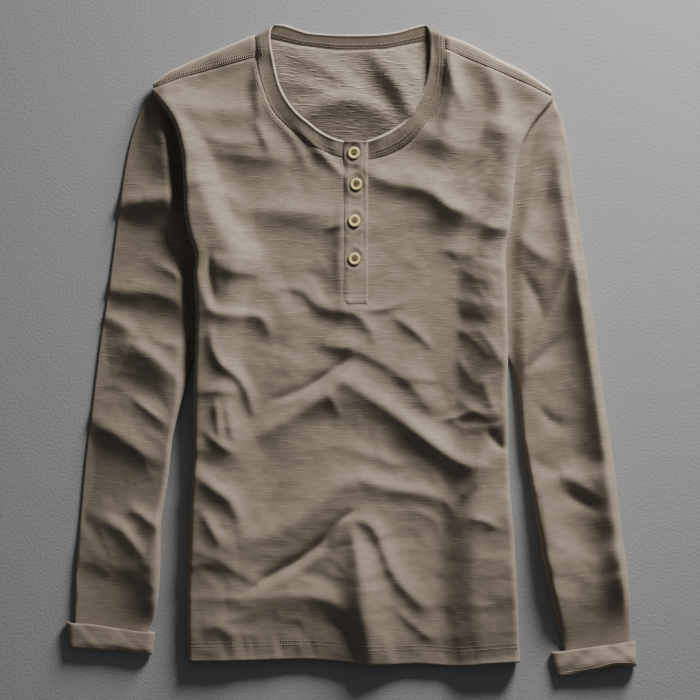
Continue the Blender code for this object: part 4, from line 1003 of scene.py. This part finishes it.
# The upper strip's relief: under a button a dip, by depth and sizes, and round it a ring, by height,
# radius, width and its length along the strip; soft lumps, by height, size and seed; the height that
# its top gains and that its edges lose, with the span of each. Then how either strip's right edge
# wavers, and how far in that fades.
strip = {"dip": (0.5, 7.5, 8.5), "ring": (0.55, 9.8, 2.2, 0.8), "soft": (0.22, (9, 16), 71),
         "top": (0.7, (-3.0, -0.8)), "right": (1.35, (-3.6, -8.5)), "foot": (1.1, (53.5, 50.0)),
         "left": (0.6, (15.8, 17.0)), "wave": (0.5, (10, 34), 73), "waveReach": 6}
buttonPlaces = [(1.9, 211.5, 12), (4.4, 178.1, 70), (2.6, 139.0, 40), (2.6, 98.4, 25)]  # x, y, turn


def placketZ(x, y):
    # the strip dips along its rows of stitches and at each button, with a low ring round the dip
    z = frontZ(x, y) + placket["lift"]
    deep, width = placket["sewn"]
    for place, lines in ((x, placket["stitchX"]), (y, placket["boxY"])):
        for line in lines:
            z = z - deep * np.exp(-(((place - line) / width) ** 2))
    dip, dipX, dipY = strip["dip"]
    rise, radius, wide, tall = strip["ring"]
    for bx, by, _ in buttonPlaces:
        z = z - dip * np.exp(-((((x - bx) / dipX) ** 2 + ((y - by) / dipY) ** 2) ** 2))
        z = z + rise * np.exp(-(((np.hypot(x - bx, (y - by) * tall) - radius) / wide) ** 2))
    soft, size, seed = strip["soft"]
    z = z + soft * lumps(x, y, size, seed)
    gain, (start, end) = strip["top"]
    z = z + gain * ease(placket["upperY"][1] + start, placket["upperY"][1] + end, y)
    for edge, place in (("right", x), ("foot", y), ("left", x)):
        loss, span = strip[edge]
        z = z - loss * ease(*span, place)
    return z


def makePlacket(name, spanX, spanY, height, wall):
    x, y = np.meshgrid(np.linspace(*spanX, placket["columns"]), np.linspace(*spanY, placket["rows"]))
    wave, size, seed = strip["wave"]
    x = x + wave * lumps(0 * x, y, size, seed) * ease(spanX[0] + strip["waveReach"], spanX[0], x)
    return makeSheet(name, x, y, height(x, y), x, y, wall=wall)


upper = makePlacket("placket_upper", placket["upperX"], placket["upperY"], placketZ, placket["wall"])
under = makePlacket("placket_under", placket["underX"], placket["underY"],
                    lambda x, y: frontZ(x, y) - placket["drop"], 1.0)
print("neckband and plackets made")

# A button's sizes; its threads cross two holes each, with strands that far from their middle line.
button = {"radius": 7.0, "steps": 56, "holeRadius": 0.85, "holeSpread": 1.75, "holeSteps": 14,
          "drill": (4.0, -1.0), "lift": -0.2, "seat": 6.0, "threadRadius": 0.34, "threadSteps": 8,
          "strand": 0.3, "threadRise": 1.2, "threadDrop": 0.9}
# radius and height from the middle of its face, over the rim, to the middle of its back
buttonProfile = [(0.0, 0.95), (1.6, 0.95), (2.9, 0.98), (3.5, 1.1), (4.0, 1.38), (4.5, 1.55), (5.1, 1.58),
                 (5.9, 1.42), (6.6, 1.1), (7.0, 0.7), (6.9, 0.45), (6.4, 0.25), (5.4, 0.1), (0.0, 0.08)]


def roundTurn(steps):
    return [2 * math.pi * k / steps for k in range(steps)]


def turnedMesh(profile, steps):
    # a closed turned form from a profile that starts and ends on the axis
    form = bmesh.new()
    ends = [form.verts.new((0, 0, profile[0][1] * mm)), form.verts.new((0, 0, profile[-1][1] * mm))]
    rings = [[form.verts.new((radius * math.cos(a) * mm, radius * math.sin(a) * mm, height * mm))
              for a in roundTurn(steps)] for radius, height in profile[1:-1]]
    for k in range(steps):
        n = (k + 1) % steps
        form.faces.new((ends[0], rings[0][k], rings[0][n]))
        form.faces.new((ends[1], rings[-1][n], rings[-1][k]))
        for a, b in zip(rings[:-1], rings[1:]):
            form.faces.new((a[k], b[k], b[n], a[n]))
    return closedMesh("turned", form)


def evaluatedMesh(obj):
    # the object's mesh with its modifiers applied
    graph = bpy.context.evaluated_depsgraph_get()
    return bpy.data.meshes.new_from_object(obj.evaluated_get(graph))


def drilledButton():
    blank = addObject("blank", turnedMesh(buttonProfile, button["steps"]))
    drills = []
    radius, (top, foot) = button["holeRadius"], button["drill"]
    for hole in range(4):
        angle = math.radians(45 + 90 * hole)
        rod = turnedMesh([(0, top), (radius, top), (radius, foot), (0, foot)], button["holeSteps"])
        for vert in rod.vertices:
            vert.co.x += button["holeSpread"] * mm * math.cos(angle)
            vert.co.y += button["holeSpread"] * mm * math.sin(angle)
        drills.append(addObject("drill", rod))
        bore = blank.modifiers.new("Hole", "BOOLEAN")
        bore.operation = "DIFFERENCE"
        bore.object = drills[-1]
    mesh = evaluatedMesh(blank)
    for obj in [blank, *drills]:
        bpy.data.objects.remove(obj)
    return mesh


def threadMesh():
    # four strands of thread: two bars, each of two strands, over the holes
    form = bmesh.new()
    half = button["holeSpread"] * math.cos(math.radians(45))
    radius, steps = button["threadRadius"], button["threadSteps"]
    for side, strand in ((-1, -1), (-1, 1), (1, -1), (1, 1)):
        x = side * half + strand * button["strand"]
        rings = []
        for t in np.linspace(-1.0, 1.0, 9):
            z = button["threadRise"] - button["threadDrop"] * abs(t) ** 5
            rings.append([form.verts.new(((x + radius * math.cos(a)) * mm, t * half * mm,
                                          (z + radius * math.sin(a)) * mm)) for a in roundTurn(steps)])
        for a, b in zip(rings[:-1], rings[1:]):
            for k in range(steps):
                n = (k + 1) % steps
                form.faces.new((a[k], a[n], b[n], b[k]))
        form.faces.new(rings[0][::-1])
        form.faces.new(rings[-1])
    return closedMesh("thread", form)


def placeAt(mesh, name, place, turn, height, tilt):
    # a copy of a mesh, turned and set down on the placket; its own plan stays in its map
    copy = mesh.copy()
    plan = np.zeros(len(copy.vertices) * 3)
    copy.vertices.foreach_get("co", plan)
    plan = plan.reshape(-1, 3)
    if "Cut" not in copy.uv_layers:
        copy.uv_layers.new(name="Cut")
    corner = np.zeros(len(copy.loops), int)
    copy.loops.foreach_get("vertex_index", corner)
    copy.uv_layers["Cut"].uv.foreach_set("vector", plan[corner][:, :2].astype(np.float32).ravel())
    a = math.radians(turn)
    x = plan[:, 0] * math.cos(a) - plan[:, 1] * math.sin(a)
    y = plan[:, 0] * math.sin(a) + plan[:, 1] * math.cos(a)
    z = plan[:, 2] + tilt[0] * x + tilt[1] * y
    moved = np.stack([x + place[0] * mm, y + place[1] * mm, z + height * mm], -1)
    copy.vertices.foreach_set("co", moved.ravel())
    copy.shade_smooth()
    copy.set_sharp_from_angle(angle=math.radians(40))
    return addObject(name, copy)


def seatOf(bx, by):
    # height and slope of the placket under a button
    out = button["seat"]
    z = placketZ(bx + out * np.array([-1.0, 1.0, 0.0, 0.0, 0.0]),
                 by + out * np.array([0.0, 0.0, -1.0, 1.0, 0.0]))
    height = float(z.max()) + 0.5 * placket["wall"] + button["lift"]
    return height, ((z[1] - z[0]) / (2 * out), (z[3] - z[2]) / (2 * out))


buttonMesh, strands = drilledButton(), threadMesh()
buttons, threads = [], []
for number, (bx, by, turn) in enumerate(buttonPlaces, start=1):
    seat, tilt = seatOf(bx, by)
    buttons.append(placeAt(buttonMesh, f"button_{number}_horn", (bx, by), turn, seat, tilt))
    threads.append(placeAt(strands, f"button_thread_{number}", (bx, by), turn, seat, tilt))
print("buttons made:", len(buttonMesh.polygons), "faces each")


# a socket that maths can be written with
class Wire:
    def __init__(self, tree, socket):
        self.tree, self.socket = tree, socket

    def maths(self, operation, a, b):
        return self.tree.add("ShaderNodeMath", {"operation": operation}, {0: a, 1: b})

    def __add__(self, other):
        return self.maths("ADD", self, other)

    def __radd__(self, other):
        return self.maths("ADD", other, self)

    def __sub__(self, other):
        return self.maths("SUBTRACT", self, other)

    def __rsub__(self, other):
        return self.maths("SUBTRACT", other, self)

    def __mul__(self, other):
        return self.maths("MULTIPLY", self, other)

    def __rmul__(self, other):
        return self.maths("MULTIPLY", other, self)

    def __truediv__(self, other):
        return self.maths("DIVIDE", self, other)


class Tree:
    def __init__(self, nodeTree):
        self.nodeTree = nodeTree
        nodeTree.nodes.clear()

    def add(self, kind, settings=None, sockets=None, output=0):
        # a node with its settings, then the values or wires of its sockets; gives one output's wire
        node = self.nodeTree.nodes.new(kind)
        for key, value in (settings or {}).items():
            if key == "stops":
                ramp = node.color_ramp
                while len(ramp.elements) < len(value):
                    ramp.elements.new(0.5)
                for element, (place, shade) in zip(ramp.elements, value):
                    element.position = place
                    element.color = (shade, shade, shade, 1.0) if isinstance(shade, float) else shade
            else:
                setattr(node, key, value)
        for key, value in (sockets or {}).items():
            if isinstance(value, Wire):
                self.nodeTree.links.new(value.socket, node.inputs[key])
            else:
                node.inputs[key].default_value = value
        return Wire(self, node.outputs[output]) if len(node.outputs) else node


def colour(r, g, b):
    return (r, g, b, 1.0)


def newMaterial(name):
    material = bpy.data.materials.new(name)
    material.use_nodes = True
    return material, Tree(material.node_tree)


def addSurface(tree, sockets):
    shader = tree.add("ShaderNodeBsdfPrincipled", {}, sockets)
    tree.add("ShaderNodeOutputMaterial", {}, {"Surface": shader})


def mixTones(tree, factor, deep, pale):
    return tree.add("ShaderNodeMix", {"data_type": "RGBA"}, {"Factor": factor, "A": deep, "B": pale}, 2)


# The face of the cloth, and how each other cloth differs from it.
jersey = {
    "pale": colour(0.350, 0.292, 0.228), "deep": colour(0.162, 0.130, 0.097),
    "roughness": 0.9, "sheen": 0.2, "streaks": 0.8, "bump": 0.33, "slub": 0.9,
}
reverse = dict(jersey, pale=colour(0.385, 0.325, 0.253), deep=colour(0.125, 0.10, 0.075),
               streaks=1.5, bump=0.8, slub=2.0)
cuffCloth = dict(jersey, pale=colour(0.385, 0.325, 0.255), bump=0.4)
# a paler copy of the jersey: painted highlight for the lit fold over the shoulder and the band's free edge
paintedHighlight = dict(jersey, pale=colour(0.56, 0.495, 0.405), deep=colour(0.28, 0.232, 0.18))
placketCloth = dict(jersey, streaks=0.6, slub=0.5, bump=0.3)
rib = dict(jersey, pale=colour(0.262, 0.217, 0.166), deep=colour(0.116, 0.093, 0.069), streaks=0.5)

# The cloth's grains, in metres: width along and across the weft, detail, roughness, and where in the
# noise each one starts.
grains = {
    "mottle": (0.055, 0.045, 3.0, 0.55, 3.0), "cloudy": (0.016, 0.007, 2.0, 0.6, 9.0),
    "streak": (0.010, 0.0011, 2.0, 0.55, 1.0), "thick": (0.021, 0.0026, 1.5, 0.5, 5.0),
    "fine": (0.0009, 0.0009, 1.0, 0.5, 7.0),
}
ribGrains = dict(grains, streak=(0.0011, 0.009, 1.0, 0.5, 1.0), thick=(0.0022, 0.016, 1.0, 0.5, 5.0))
# How much each grain tells in the tone and in the relief, and how deep that is, in metres.
inTone = {"mottle": 0.5, "cloudy": 0.55, "streak": 0.9, "slub": 0.17, "thin": 0.15, "fine": 0.35}
inRelief = {"slub": 0.7, "fine": 0.4, "depth": 0.0007}
# The values at which a yarn is thick or thin, and how crisp the yarns look from the hem to the chest.
yarns = {"thick": (0.56, 0.72), "thin": (0.30, 0.44), "crispY": (-0.22, 0.16), "crisp": (0.5, 1.0)}


def clothMaterial(name, look, sizes=grains):
    material, tree = newMaterial(name)
    cut = tree.add("ShaderNodeUVMap", {"uv_map": "Cut"})

    def grain(title):
        wide, high, detail, rough, shift = sizes[title]
        spot = tree.add("ShaderNodeMapping", {}, {
            "Vector": cut, "Location": (shift, shift, shift), "Scale": (1.0 / wide, 1.0 / high, 1.0)})
        return tree.add("ShaderNodeTexNoise", {}, {
            "Vector": spot, "Scale": 1.0, "Detail": detail, "Roughness": rough})

    here = tree.add("ShaderNodeTexCoord", output=3)
    height = tree.add("ShaderNodeSeparateXYZ", {}, {0: here}, 1)
    # the yarns show less towards the hem
    spans = dict(enumerate(yarns["crispY"] + yarns["crisp"], start=1))
    crisp = tree.add("ShaderNodeMapRange", {}, {"Value": height, **spans})
    mottle, cloudy, streak, thick, fine = [grain(title) for title in sizes]
    thickStops = list(zip(yarns["thick"], (0.0, 1.0)))
    slub = tree.add("ShaderNodeValToRGB", {"stops": thickStops}, {"Fac": thick})
    thinStops = list(zip(yarns["thin"], (1.0, 0.0)))
    thin = tree.add("ShaderNodeValToRGB", {"stops": thinStops}, {"Fac": thick})
    tone = 0.5 + inTone["mottle"] * (mottle - 0.5) + inTone["cloudy"] * (cloudy - 0.5)
    tone = tone + look["streaks"] * inTone["streak"] * (streak - 0.5) * crisp
    uneven = look["slub"] * (inTone["slub"] * slub - inTone["thin"] * thin)
    tone = tone + uneven * crisp + inTone["fine"] * (fine - 0.5)
    relief = look["streaks"] * streak + inRelief["slub"] * look["slub"] * slub
    relief = relief * crisp + inRelief["fine"] * fine
    normal = tree.add("ShaderNodeBump", {}, {
        "Strength": look["bump"], "Distance": inRelief["depth"], "Height": relief})
    addSurface(tree, {
        "Base Color": mixTones(tree, tone, look["deep"], look["pale"]), "Roughness": look["roughness"],
        "Specular IOR Level": 0.25, "Sheen Weight": look["sheen"], "Sheen Roughness": 0.45,
        "Normal": normal,
    })
    return material


def plainMaterial(name, deep, pale, size, roughness, bump):
    # thread and the floor: two close tones in a fine grain
    material, tree = newMaterial(name)
    spot = tree.add("ShaderNodeTexCoord", output=3)
    speck = tree.add("ShaderNodeTexNoise", {}, {"Vector": spot, "Scale": 1.0 / size, "Detail": 3.0})
    normal = tree.add("ShaderNodeBump", {}, {"Strength": bump, "Distance": 0.0004, "Height": speck})
    base = mixTones(tree, speck, deep, pale)
    addSurface(tree, {"Base Color": base, "Roughness": roughness, "Normal": normal})
    return material


def buttonMaterial():
    # horn, from the middle out: brown, olive, yellow, pale, and dark at the edge of the rim
    material, tree = newMaterial("button horn")
    plan = tree.add("ShaderNodeUVMap", {"uv_map": "Cut"})
    grain = tree.add("ShaderNodeTexNoise", {}, {"Vector": plan, "Scale": 420.0, "Detail": 3.0})
    fromMiddle = tree.add("ShaderNodeVectorMath", {"operation": "LENGTH"}, {0: plan}, 1)
    place = fromMiddle / (button["radius"] * mm) + 0.06 * (grain - 0.5)
    base = tree.add("ShaderNodeValToRGB", {"stops": [
        (0.0, colour(0.11, 0.075, 0.035)), (0.36, colour(0.17, 0.125, 0.05)),
        (0.50, colour(0.40, 0.33, 0.13)), (0.62, colour(0.66, 0.54, 0.22)),
        (0.78, colour(0.76, 0.66, 0.33)), (0.88, colour(0.20, 0.145, 0.065)),
    ]}, {"Fac": place})
    addSurface(tree, {"Base Color": base, "Roughness": 0.5, "Coat Weight": 0.06, "Coat Roughness": 0.3})
    return material


bodyMaterial = clothMaterial("slub jersey", jersey)
paintedHighlightMaterial = clothMaterial("worn jersey", paintedHighlight)
reverseMaterial = clothMaterial("jersey reverse", reverse)
cuffMaterial = clothMaterial("cuff jersey", cuffCloth)
placketMaterial = clothMaterial("placket jersey", placketCloth)
ribMaterial = clothMaterial("neck rib", rib, ribGrains)
threadMaterial = plainMaterial("sewing thread", colour(0.26, 0.215, 0.16), colour(0.44, 0.375, 0.29),
                               0.0012, 0.7, 0.2)
buttonThread = plainMaterial("button thread", colour(0.10, 0.07, 0.03), colour(0.26, 0.2, 0.09),
                             0.001, 0.6, 0.2)
hornMaterial = buttonMaterial()
print("materials made")


def stitchTree():
    # stitches laid at an even pitch along every path, each turned by a slant from its path
    group = bpy.data.node_groups.new("Stitch rows", "GeometryNodeTree")
    tree = Tree(group)
    face = group.interface
    face.new_socket("Paths", in_out="INPUT", socket_type="NodeSocketGeometry")
    for title in ("Pitch", "Length", "Thickness", "Slant"):
        face.new_socket(title, in_out="INPUT", socket_type="NodeSocketFloat")
    face.new_socket("Thread", in_out="INPUT", socket_type="NodeSocketMaterial")
    face.new_socket("Stitches", in_out="OUTPUT", socket_type="NodeSocketGeometry")
    entry = group.nodes.new("NodeGroupInput")
    given = {socket.name: Wire(tree, socket) for socket in entry.outputs if socket.name}
    path = tree.add("GeometryNodeMeshToCurve", {}, {"Mesh": given["Paths"]})
    resample = tree.add("GeometryNodeResampleCurve", {"mode": "LENGTH"},
                        {"Curve": path, "Length": given["Pitch"]})
    tangent = tree.add("GeometryNodeInputTangent")
    flat = tree.add("FunctionNodeAlignRotationToVector", {"axis": "X", "pivot_axis": "Z"},
                    {"Vector": tangent})
    turned = tree.add("FunctionNodeAlignRotationToVector", {"axis": "X", "pivot_axis": "AUTO"},
                      {"Rotation": flat, "Vector": tangent})
    slanted = tree.add("FunctionNodeAxisAngleToRotation", {},
                       {"Axis": (0.0, 0.0, 1.0), "Angle": given["Slant"]})
    lay = tree.add("FunctionNodeRotateRotation", {"rotation_space": "LOCAL"},
                   {"Rotation": turned, "Rotate By": slanted})
    ball = tree.add("GeometryNodeMeshUVSphere", {}, {"Segments": 6, "Rings": 5, "Radius": 0.5})
    size = tree.add("ShaderNodeCombineXYZ", {},
                    {"X": given["Length"], "Y": given["Thickness"], "Z": given["Thickness"]})
    placed = tree.add("GeometryNodeInstanceOnPoints", {},
                      {"Points": resample, "Instance": ball, "Rotation": lay, "Scale": size})
    real = tree.add("GeometryNodeRealizeInstances", {}, {"Geometry": placed})
    smooth = tree.add("GeometryNodeSetShadeSmooth", {}, {"Geometry": real})
    done = tree.add("GeometryNodeSetMaterial", {}, {"Geometry": smooth, "Material": given["Thread"]})
    tree.add("NodeGroupOutput", {}, {"Stitches": done})
    return group


stitchNodes = stitchTree()


def sewRows(name, paths, pitch, length, thickness, slant=0.0):
    # paths are rows of points in millimetres, on the surface; sizes too; slant in degrees
    points, edges = [], []
    for path in paths:
        start = len(points)
        points += [(float(a) * mm, float(b) * mm, float(c) * mm) for a, b, c in path]
        edges += [(k, k + 1) for k in range(start, len(points) - 1)]
    mesh = bpy.data.meshes.new(name)
    mesh.from_pydata(points, edges, [])
    carrier = addObject(name + "_paths", mesh)
    modifier = carrier.modifiers.new("Stitches", "NODES")
    modifier.node_group = stitchNodes
    values = {"Pitch": pitch * mm, "Length": length * mm, "Thickness": thickness * mm,
              "Slant": math.radians(slant), "Thread": threadMaterial}
    for item in stitchNodes.interface.items_tree:
        if item.in_out == "INPUT" and item.name in values:
            modifier[item.identifier] = values[item.name]
    bpy.context.view_layer.update()
    made = evaluatedMesh(carrier)
    bpy.data.objects.remove(carrier)
    return addObject(name, made)


# Where the rows of stitches start and end, and in how many steps, with what those round the neck keep
# clear of. Then how far the rows lie over the middle of the cloth.
rowSpans = {
    "hem": (-171.0, 174.5, 240), "placketTall": (50.8, 223.0, 120), "placketWide": (-7.4, 15.6, 20),
    "shoulders": ((-210.0, -106.0, 80), (102.0, 212.0, 80)), "buttonhole": (9.2, 2.0, 12),
    "buttonholeSide": 0.75, "cuff": (0.09, 0.91, 60), "bandEnds": 4, "neckMiddle": (0.0, 300.0),
    "besidePlacket": 14.0, "belowShoulder": 2.0,
}
rowLifts = {"hem": 0.5, "placket": 0.08, "neck": 0.5, "shoulder": 0.7, "cuff": 0.75}


def pathOf(x, y, z):
    return np.stack([x, y, z], -1)


def hemRow(offset):
    x = np.linspace(*rowSpans["hem"])
    y = curveAt(hemLine, 1, x) + offset
    return pathOf(x, y, frontZ(x, y) + rowLifts["hem"])


def placketRow(x, y):
    return pathOf(x, y, placketZ(x, y) + 0.5 * placket["wall"] + rowLifts["placket"])


def placketRows():
    tall, wide = np.linspace(*rowSpans["placketTall"]), np.linspace(*rowSpans["placketWide"])
    return ([placketRow(0 * tall + line, tall) for line in placket["stitchX"]]
            + [placketRow(wide, 0 * wide + line) for line in placket["boxY"]])


def buttonholeRows():
    paths = []
    for bx, by, _ in buttonPlaces:
        start, end, steps = rowSpans["buttonhole"]
        y = np.linspace(by - start, by - end, steps)
        for side in (-1.0, 1.0):
            paths.append(placketRow(0 * y + bx + side * rowSpans["buttonholeSide"], y))
    return paths


def bandRow(share, lift):
    x, y, z = bandPoint(bandStations()[rowSpans["bandEnds"]:-rowSpans["bandEnds"]], share)
    return pathOf(x, y, z + lift)


def besideNeck(gap):
    # rows of stitches on the front, beside the seam of the band
    paths = []
    for part in neckArcs:
        along = np.gradient(part, axis=0)
        out = np.stack([-along[:, 1], along[:, 0]], -1) / np.hypot(*along.T)[:, None]
        out *= np.sign(((part - np.array(rowSpans["neckMiddle"])) * out).sum(1))[:, None]
        x, y = (part + gap * out).T
        clear = np.abs(x - neckHole["middle"]) > rowSpans["besidePlacket"]
        clear &= y < lineAt(shoulderSeam, x) - rowSpans["belowShoulder"]
        x, y = x[clear], y[clear]
        paths.append(pathOf(x, y, frontZ(x, y) - underBand(x, y) + rowLifts["neck"]))
    return paths


def shoulderRows(offset):
    paths = []
    for span in rowSpans["shoulders"]:
        x = np.linspace(*span)
        room = lineAt(backTop, x) - lineAt(shoulderSeam, x)
        y = lineAt(shoulderSeam, x) + np.minimum(offset, 0.55 * room)
        paths.append(pathOf(x, y, frontZ(x, y) + rowLifts["shoulder"]))
    return paths


def cuffRows(cuff):
    paths = []
    for drop in cuff.rows:
        x, y = mix(*cuffEnds(cuff, drop), np.linspace(*rowSpans["cuff"])[:, None]).T
        z = cuff.height + cuffRelief(cuff, x, drop) + cuffOpen(cuff, x, drop) + rowLifts["cuff"]
        paths.append(pathOf(x, y + cuffLip(cuff, x, drop), z))
    return paths


# rows, then the pitch, length and thickness of their stitches, and their slant in degrees
stitchSets = [
    sewRows("stitches_hem", [hemRow(16.5), hemRow(20.5)], 3.1, 2.7, 0.62),
    sewRows("stitches_placket", placketRows(), 2.7, 2.2, 0.7),
    sewRows("stitches_neckband", [bandRow(0.16, 1.3), bandRow(0.34, 2.3)], 2.6, 2.1, 0.7),
    sewRows("stitches_neck", besideNeck(2.6) + besideNeck(6.4), 2.8, 2.3, 0.75),
    sewRows("stitches_neck_zigzag", besideNeck(4.5), 1.7, 3.6, 0.5, 50.0),
    sewRows("stitches_shoulder_ladder", shoulderRows(4.6), 2.1, 4.6, 0.8, 80.0),
    sewRows("stitches_shoulder", shoulderRows(1.8) + shoulderRows(7.4), 2.8, 2.4, 0.75),
    sewRows("stitches_buttonholes", buttonholeRows(), 0.5, 1.5, 0.42, 90.0),
    sewRows("stitches_cuff_right", cuffRows(rightCuff), 2.8, 2.5, 0.85),
    sewRows("stitches_cuff_left", cuffRows(leftCuff), 2.8, 2.5, 0.85),
]
print("stitches made:", sum(len(one.data.polygons) for one in stitchSets), "faces")


def settle(obj, material, slot, *nodes):
    if material:
        obj.data.materials.clear()
        obj.data.materials.append(material)
    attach(obj, "root")
    if nodes:
        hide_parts(*nodes)


# Where the back's strip lies over the shoulder and a highlight is painted pale along its fold: distance
# from the middle, below the seam, above the table and below the fold, and how level a face there is.
paintedHighlightZone = {"fromMiddle": 95.0, "belowSeam": 2.0, "above": 3.2, "belowFold": 2.6, "level": 0.2}


def showFace():
    # the strip over the shoulder shows the face of the cloth, with a highlight painted pale along its
    # fold, and the band's free edge gets the same painted highlight
    for material in (bodyMaterial, paintedHighlightMaterial):
        back.data.materials.append(material)
    for polygon in back.data.polygons:
        middle = polygon.center / mm
        overFold = (abs(middle.x) > paintedHighlightZone["fromMiddle"] and middle.z > paintedHighlightZone["above"]
                    and middle.y > lineAt(shoulderSeam, middle.x) - paintedHighlightZone["belowSeam"])
        paintedHighlightFace = (overFold and middle.y > lineAt(backTop, middle.x) - paintedHighlightZone["belowFold"]
                     and abs(polygon.normal.z) > paintedHighlightZone["level"])
        polygon.material_index = int(overFold) + int(paintedHighlightFace)
    # the rolled free edge of the band takes the painted highlight
    neckband.data.materials.append(paintedHighlightMaterial)
    for number, polygon in enumerate(neckband.data.polygons):
        polygon.material_index = int(number % len(bandSection) in band["rolled"])


def settleAll():
    pieces = [
        (front, bodyMaterial, "slub_jersey", "front_body"),
        (back, reverseMaterial, "jersey_reverse", "back_body"),
        (rightSleevePiece, bodyMaterial, "slub_jersey", "sleeve_right"),
        (leftSleevePiece, bodyMaterial, "slub_jersey", "sleeve_left"),
        (rightCuffPiece, cuffMaterial, "cuff_jersey", "cuff_right"),
        (leftCuffPiece, cuffMaterial, "cuff_jersey", "cuff_left"),
        (neckband, ribMaterial, "neck_rib", "neckband"),
        (upper, placketMaterial, "placket_cloth", "placket_upper"),
        (under, placketMaterial, "placket_cloth", "placket_under"),
    ]
    for obj, material, slot, node in pieces:
        settle(obj, material, slot, node)
    showFace()
    for number, (disc, thread) in enumerate(zip(buttons, threads), start=1):
        settle(disc, hornMaterial, "button_horn", f"button_{number}")
        settle(thread, buttonThread, "placket_cloth")
    for one in stitchSets:
        settle(one, None, "placket_cloth" if "placket" in one.name else "slub_jersey")


settleAll()

# Floor, light and camera, in metres. The camera looks straight down, and across is the width that it
# sees at the height of the cloth.
studio = {"floor": 4.0, "floorZ": -0.0004, "camera": 3.0, "clothZ": 0.01, "across": 0.747,
          "centre": (-0.0021, 0.0011), "sensor": 36.0}


def makeStudio():
    bpy.ops.mesh.primitive_plane_add(size=studio["floor"], location=(0, 0, studio["floorZ"]))
    floor = bpy.context.object
    floor.name = "floor"
    floor.data.materials.append(plainMaterial(
        "floor", colour(0.295, 0.30, 0.31), colour(0.35, 0.355, 0.365), 0.0028, 0.9, 0.9))
    lamp = bpy.data.lights.new("key", "AREA")
    lamp.shape = "DISK"
    lamp.size = light["width"]
    lamp.energy = light["power"]
    lamp.spread = math.radians(light["beam"])
    lamp.color = light["colour"]
    key = addObject("key", lamp)
    rise = math.radians(light["rise"])
    aim = (towardsLight[0] * math.cos(rise), towardsLight[1] * math.cos(rise), math.sin(rise))
    key.location = [light["away"] * part for part in aim]
    beam = Vector((*light["aim"], 0.0)) - key.location
    key.rotation_euler = beam.to_track_quat("-Z", "Y").to_euler()
    world = bpy.data.worlds.new("studio")
    world.use_nodes = True
    tree = Tree(world.node_tree)
    sky = tree.add("ShaderNodeBackground", {}, {
        "Color": colour(0.93, 0.96, 1.0), "Strength": light["fill"]})
    tree.add("ShaderNodeOutputWorld", {}, {"Surface": sky})
    bpy.context.scene.world = world
    view = bpy.data.cameras.new("overhead")
    view.sensor_width = studio["sensor"]
    view.lens = studio["sensor"] * (studio["camera"] - studio["clothZ"]) / studio["across"]
    camera = addObject("overhead", view)
    camera.location = (*studio["centre"], studio["camera"])
    bpy.context.scene.camera = camera


makeStudio()
